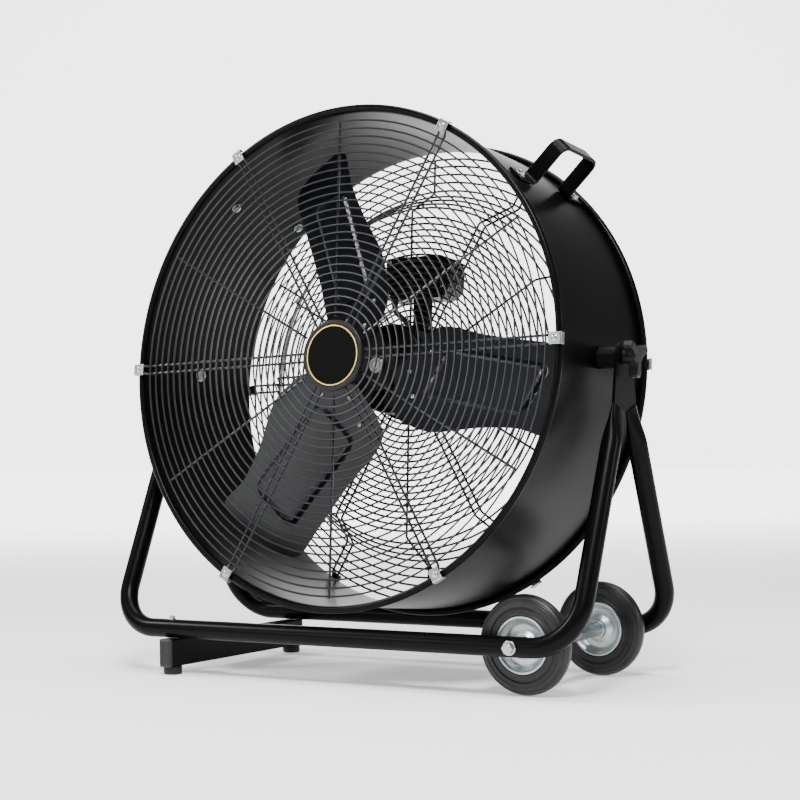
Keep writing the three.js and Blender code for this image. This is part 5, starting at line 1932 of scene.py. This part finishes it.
@dataclass(frozen=True)
class Lamp:
    """One square soft light: side in metres, power in watts, and what it is aimed at."""

    name: str
    spot: Triple
    size: float
    power: float
    target: Triple = (0.0, 0.0, 0.38)

    def hang(self) -> None:
        """Put the light in the scene."""
        data = bpy.data.lights.new(self.name, "AREA")
        data.shape = "SQUARE"
        data.size = self.size
        data.energy = self.power
        lamp = bpy.data.objects.new(self.name, data)
        lamp.location = self.spot
        aim = Vector(self.target) - Vector(self.spot)
        lamp.rotation_mode = "QUATERNION"
        lamp.rotation_quaternion = aim.to_track_quat("-Z", "Y")
        bpy.context.scene.collection.objects.link(lamp)


LAMPS = (
    Lamp("above", (0.2, 0.1, 3.2), 1.8, 120),
    Lamp("front_floor", (1.0, -1.7, 2.6), 0.8, 130, (-0.1, -0.6, 0.0)),
    Lamp("key", (-2.5, -1.0, 2.3), 0.45, 60),
    Lamp("strip", (-1.6, -2.5, 1.1), 0.35, 14),
    Lamp("side", (3.0, 0.6, 1.2), 0.4, 16),
)


@dataclass
class Studio:
    """The camera, the pale floor with its backdrop, and the soft lights."""

    azimuth: float = 32.8226
    elevation: float = -1.274
    roll: float = -1.0303
    focal: float = 1784.7
    sensor: float = 36.0
    pixels: float = 800.0
    location: Triple = (1.3135, -2.0014, 0.30995)
    clip: tuple[float, float] = (0.05, 60.0)
    floor_reach: float = 14.0
    floor_drop: float = 0.0004
    floor_glow: tuple[float, float] = (0.8, 5.0)
    backdrop: Triple = (-0.542, 0.84, 0.0)
    backdrop_edge: tuple[float, float] = (0.84, 0.965)
    dim: float = 0.28
    bright: float = 4.0

    def camera(self) -> None:
        """The camera at the photograph's viewpoint."""
        az, el, ro = (math.radians(v) for v in (self.azimuth, self.elevation, self.roll))
        back = Vector((math.sin(az) * math.cos(el), -math.cos(az) * math.cos(el), math.sin(el)))
        right = Vector((math.cos(az), math.sin(az), 0.0))
        up = back.cross(right)
        turned_right = right * math.cos(ro) + up * math.sin(ro)
        turned_up = up * math.cos(ro) - right * math.sin(ro)
        data = bpy.data.cameras.new("camera")
        data.sensor_width = self.sensor
        data.lens = self.focal / self.pixels * self.sensor
        data.clip_start, data.clip_end = self.clip
        camera = bpy.data.objects.new("camera", data)
        turn = Matrix((turned_right, turned_up, back)).transposed().to_4x4()
        camera.matrix_world = Matrix.Translation(self.location) @ turn
        bpy.context.scene.collection.objects.link(camera)
        bpy.context.scene.camera = camera

    def floor(self) -> None:
        """The pale floor, wide enough for every view."""
        reach, z = self.floor_reach, -self.floor_drop
        mesh = bpy.data.meshes.new("floor")
        corners = [(x, y, z) for y in (-reach, reach) for x in (-reach, reach)]
        mesh.from_pydata(corners, [], [(0, 1, 3, 2)])
        shader = Shader("floor_paper")
        pale = shader.mix(shader.noise(1.5, 2.0), (0.86, 0.86, 0.86), (0.88, 0.88, 0.88))
        behind = shader.node("ShaderNodeVectorMath", {"operation": "DOT_PRODUCT"}, {
            0: shader.place, 1: self.backdrop,
        }, "Value")
        glow = shader.mix(behind.ramp(*self.floor_glow), (0.1, 0.1, 0.1), (1.0, 1.0, 1.0))
        mesh.materials.append(shader.close(shader.noise(300.0), 0.00002, {
            "Base Color": pale, "Roughness": 0.8, "Specular IOR Level": 0.1,
            "Emission Color": glow, "Emission Strength": self.bright,
        }))
        published("floor", mesh)

    def world(self) -> None:
        """White light, bright behind the fan and dim on the camera's side."""
        world = bpy.data.worlds.new("studio")
        world.use_nodes = True
        tree = world.node_tree
        sky = tree.nodes["Background"]
        sky.inputs["Strength"].default_value = 1.0
        where = planted(tree, "ShaderNodeTexCoord", {}, {})
        facing = planted(tree, "ShaderNodeVectorMath", {"operation": "DOT_PRODUCT"}, {
            0: where.outputs["Generated"], 1: self.backdrop,
        })
        start, end = self.backdrop_edge
        level = planted(tree, "ShaderNodeMapRange", {"interpolation_type": "SMOOTHSTEP"}, {
            "Value": facing.outputs["Value"], "From Min": start, "From Max": end,
            "To Min": self.dim, "To Max": self.bright,
        })
        tree.links.new(level.outputs[0], sky.inputs["Color"])
        bpy.context.scene.world = world

    def build(self) -> None:
        """Set up the whole studio."""
        self.camera()
        self.floor()
        self.world()
        for lamp in LAMPS:
            lamp.hang()


def main() -> None:
    """Build the studio and every sub-assembly, logging each piece's face count."""
    logging.basicConfig(level=logging.INFO, format="%(message)s")
    Studio().build()
    shop = Workshop()
    Stand(shop).build()
    Wheels().build()
    Drum(shop).build()
    Guards(shop).build()
    Impeller(shop).build()
    Drive(shop).build()


if __name__ == "__main__":
    main()
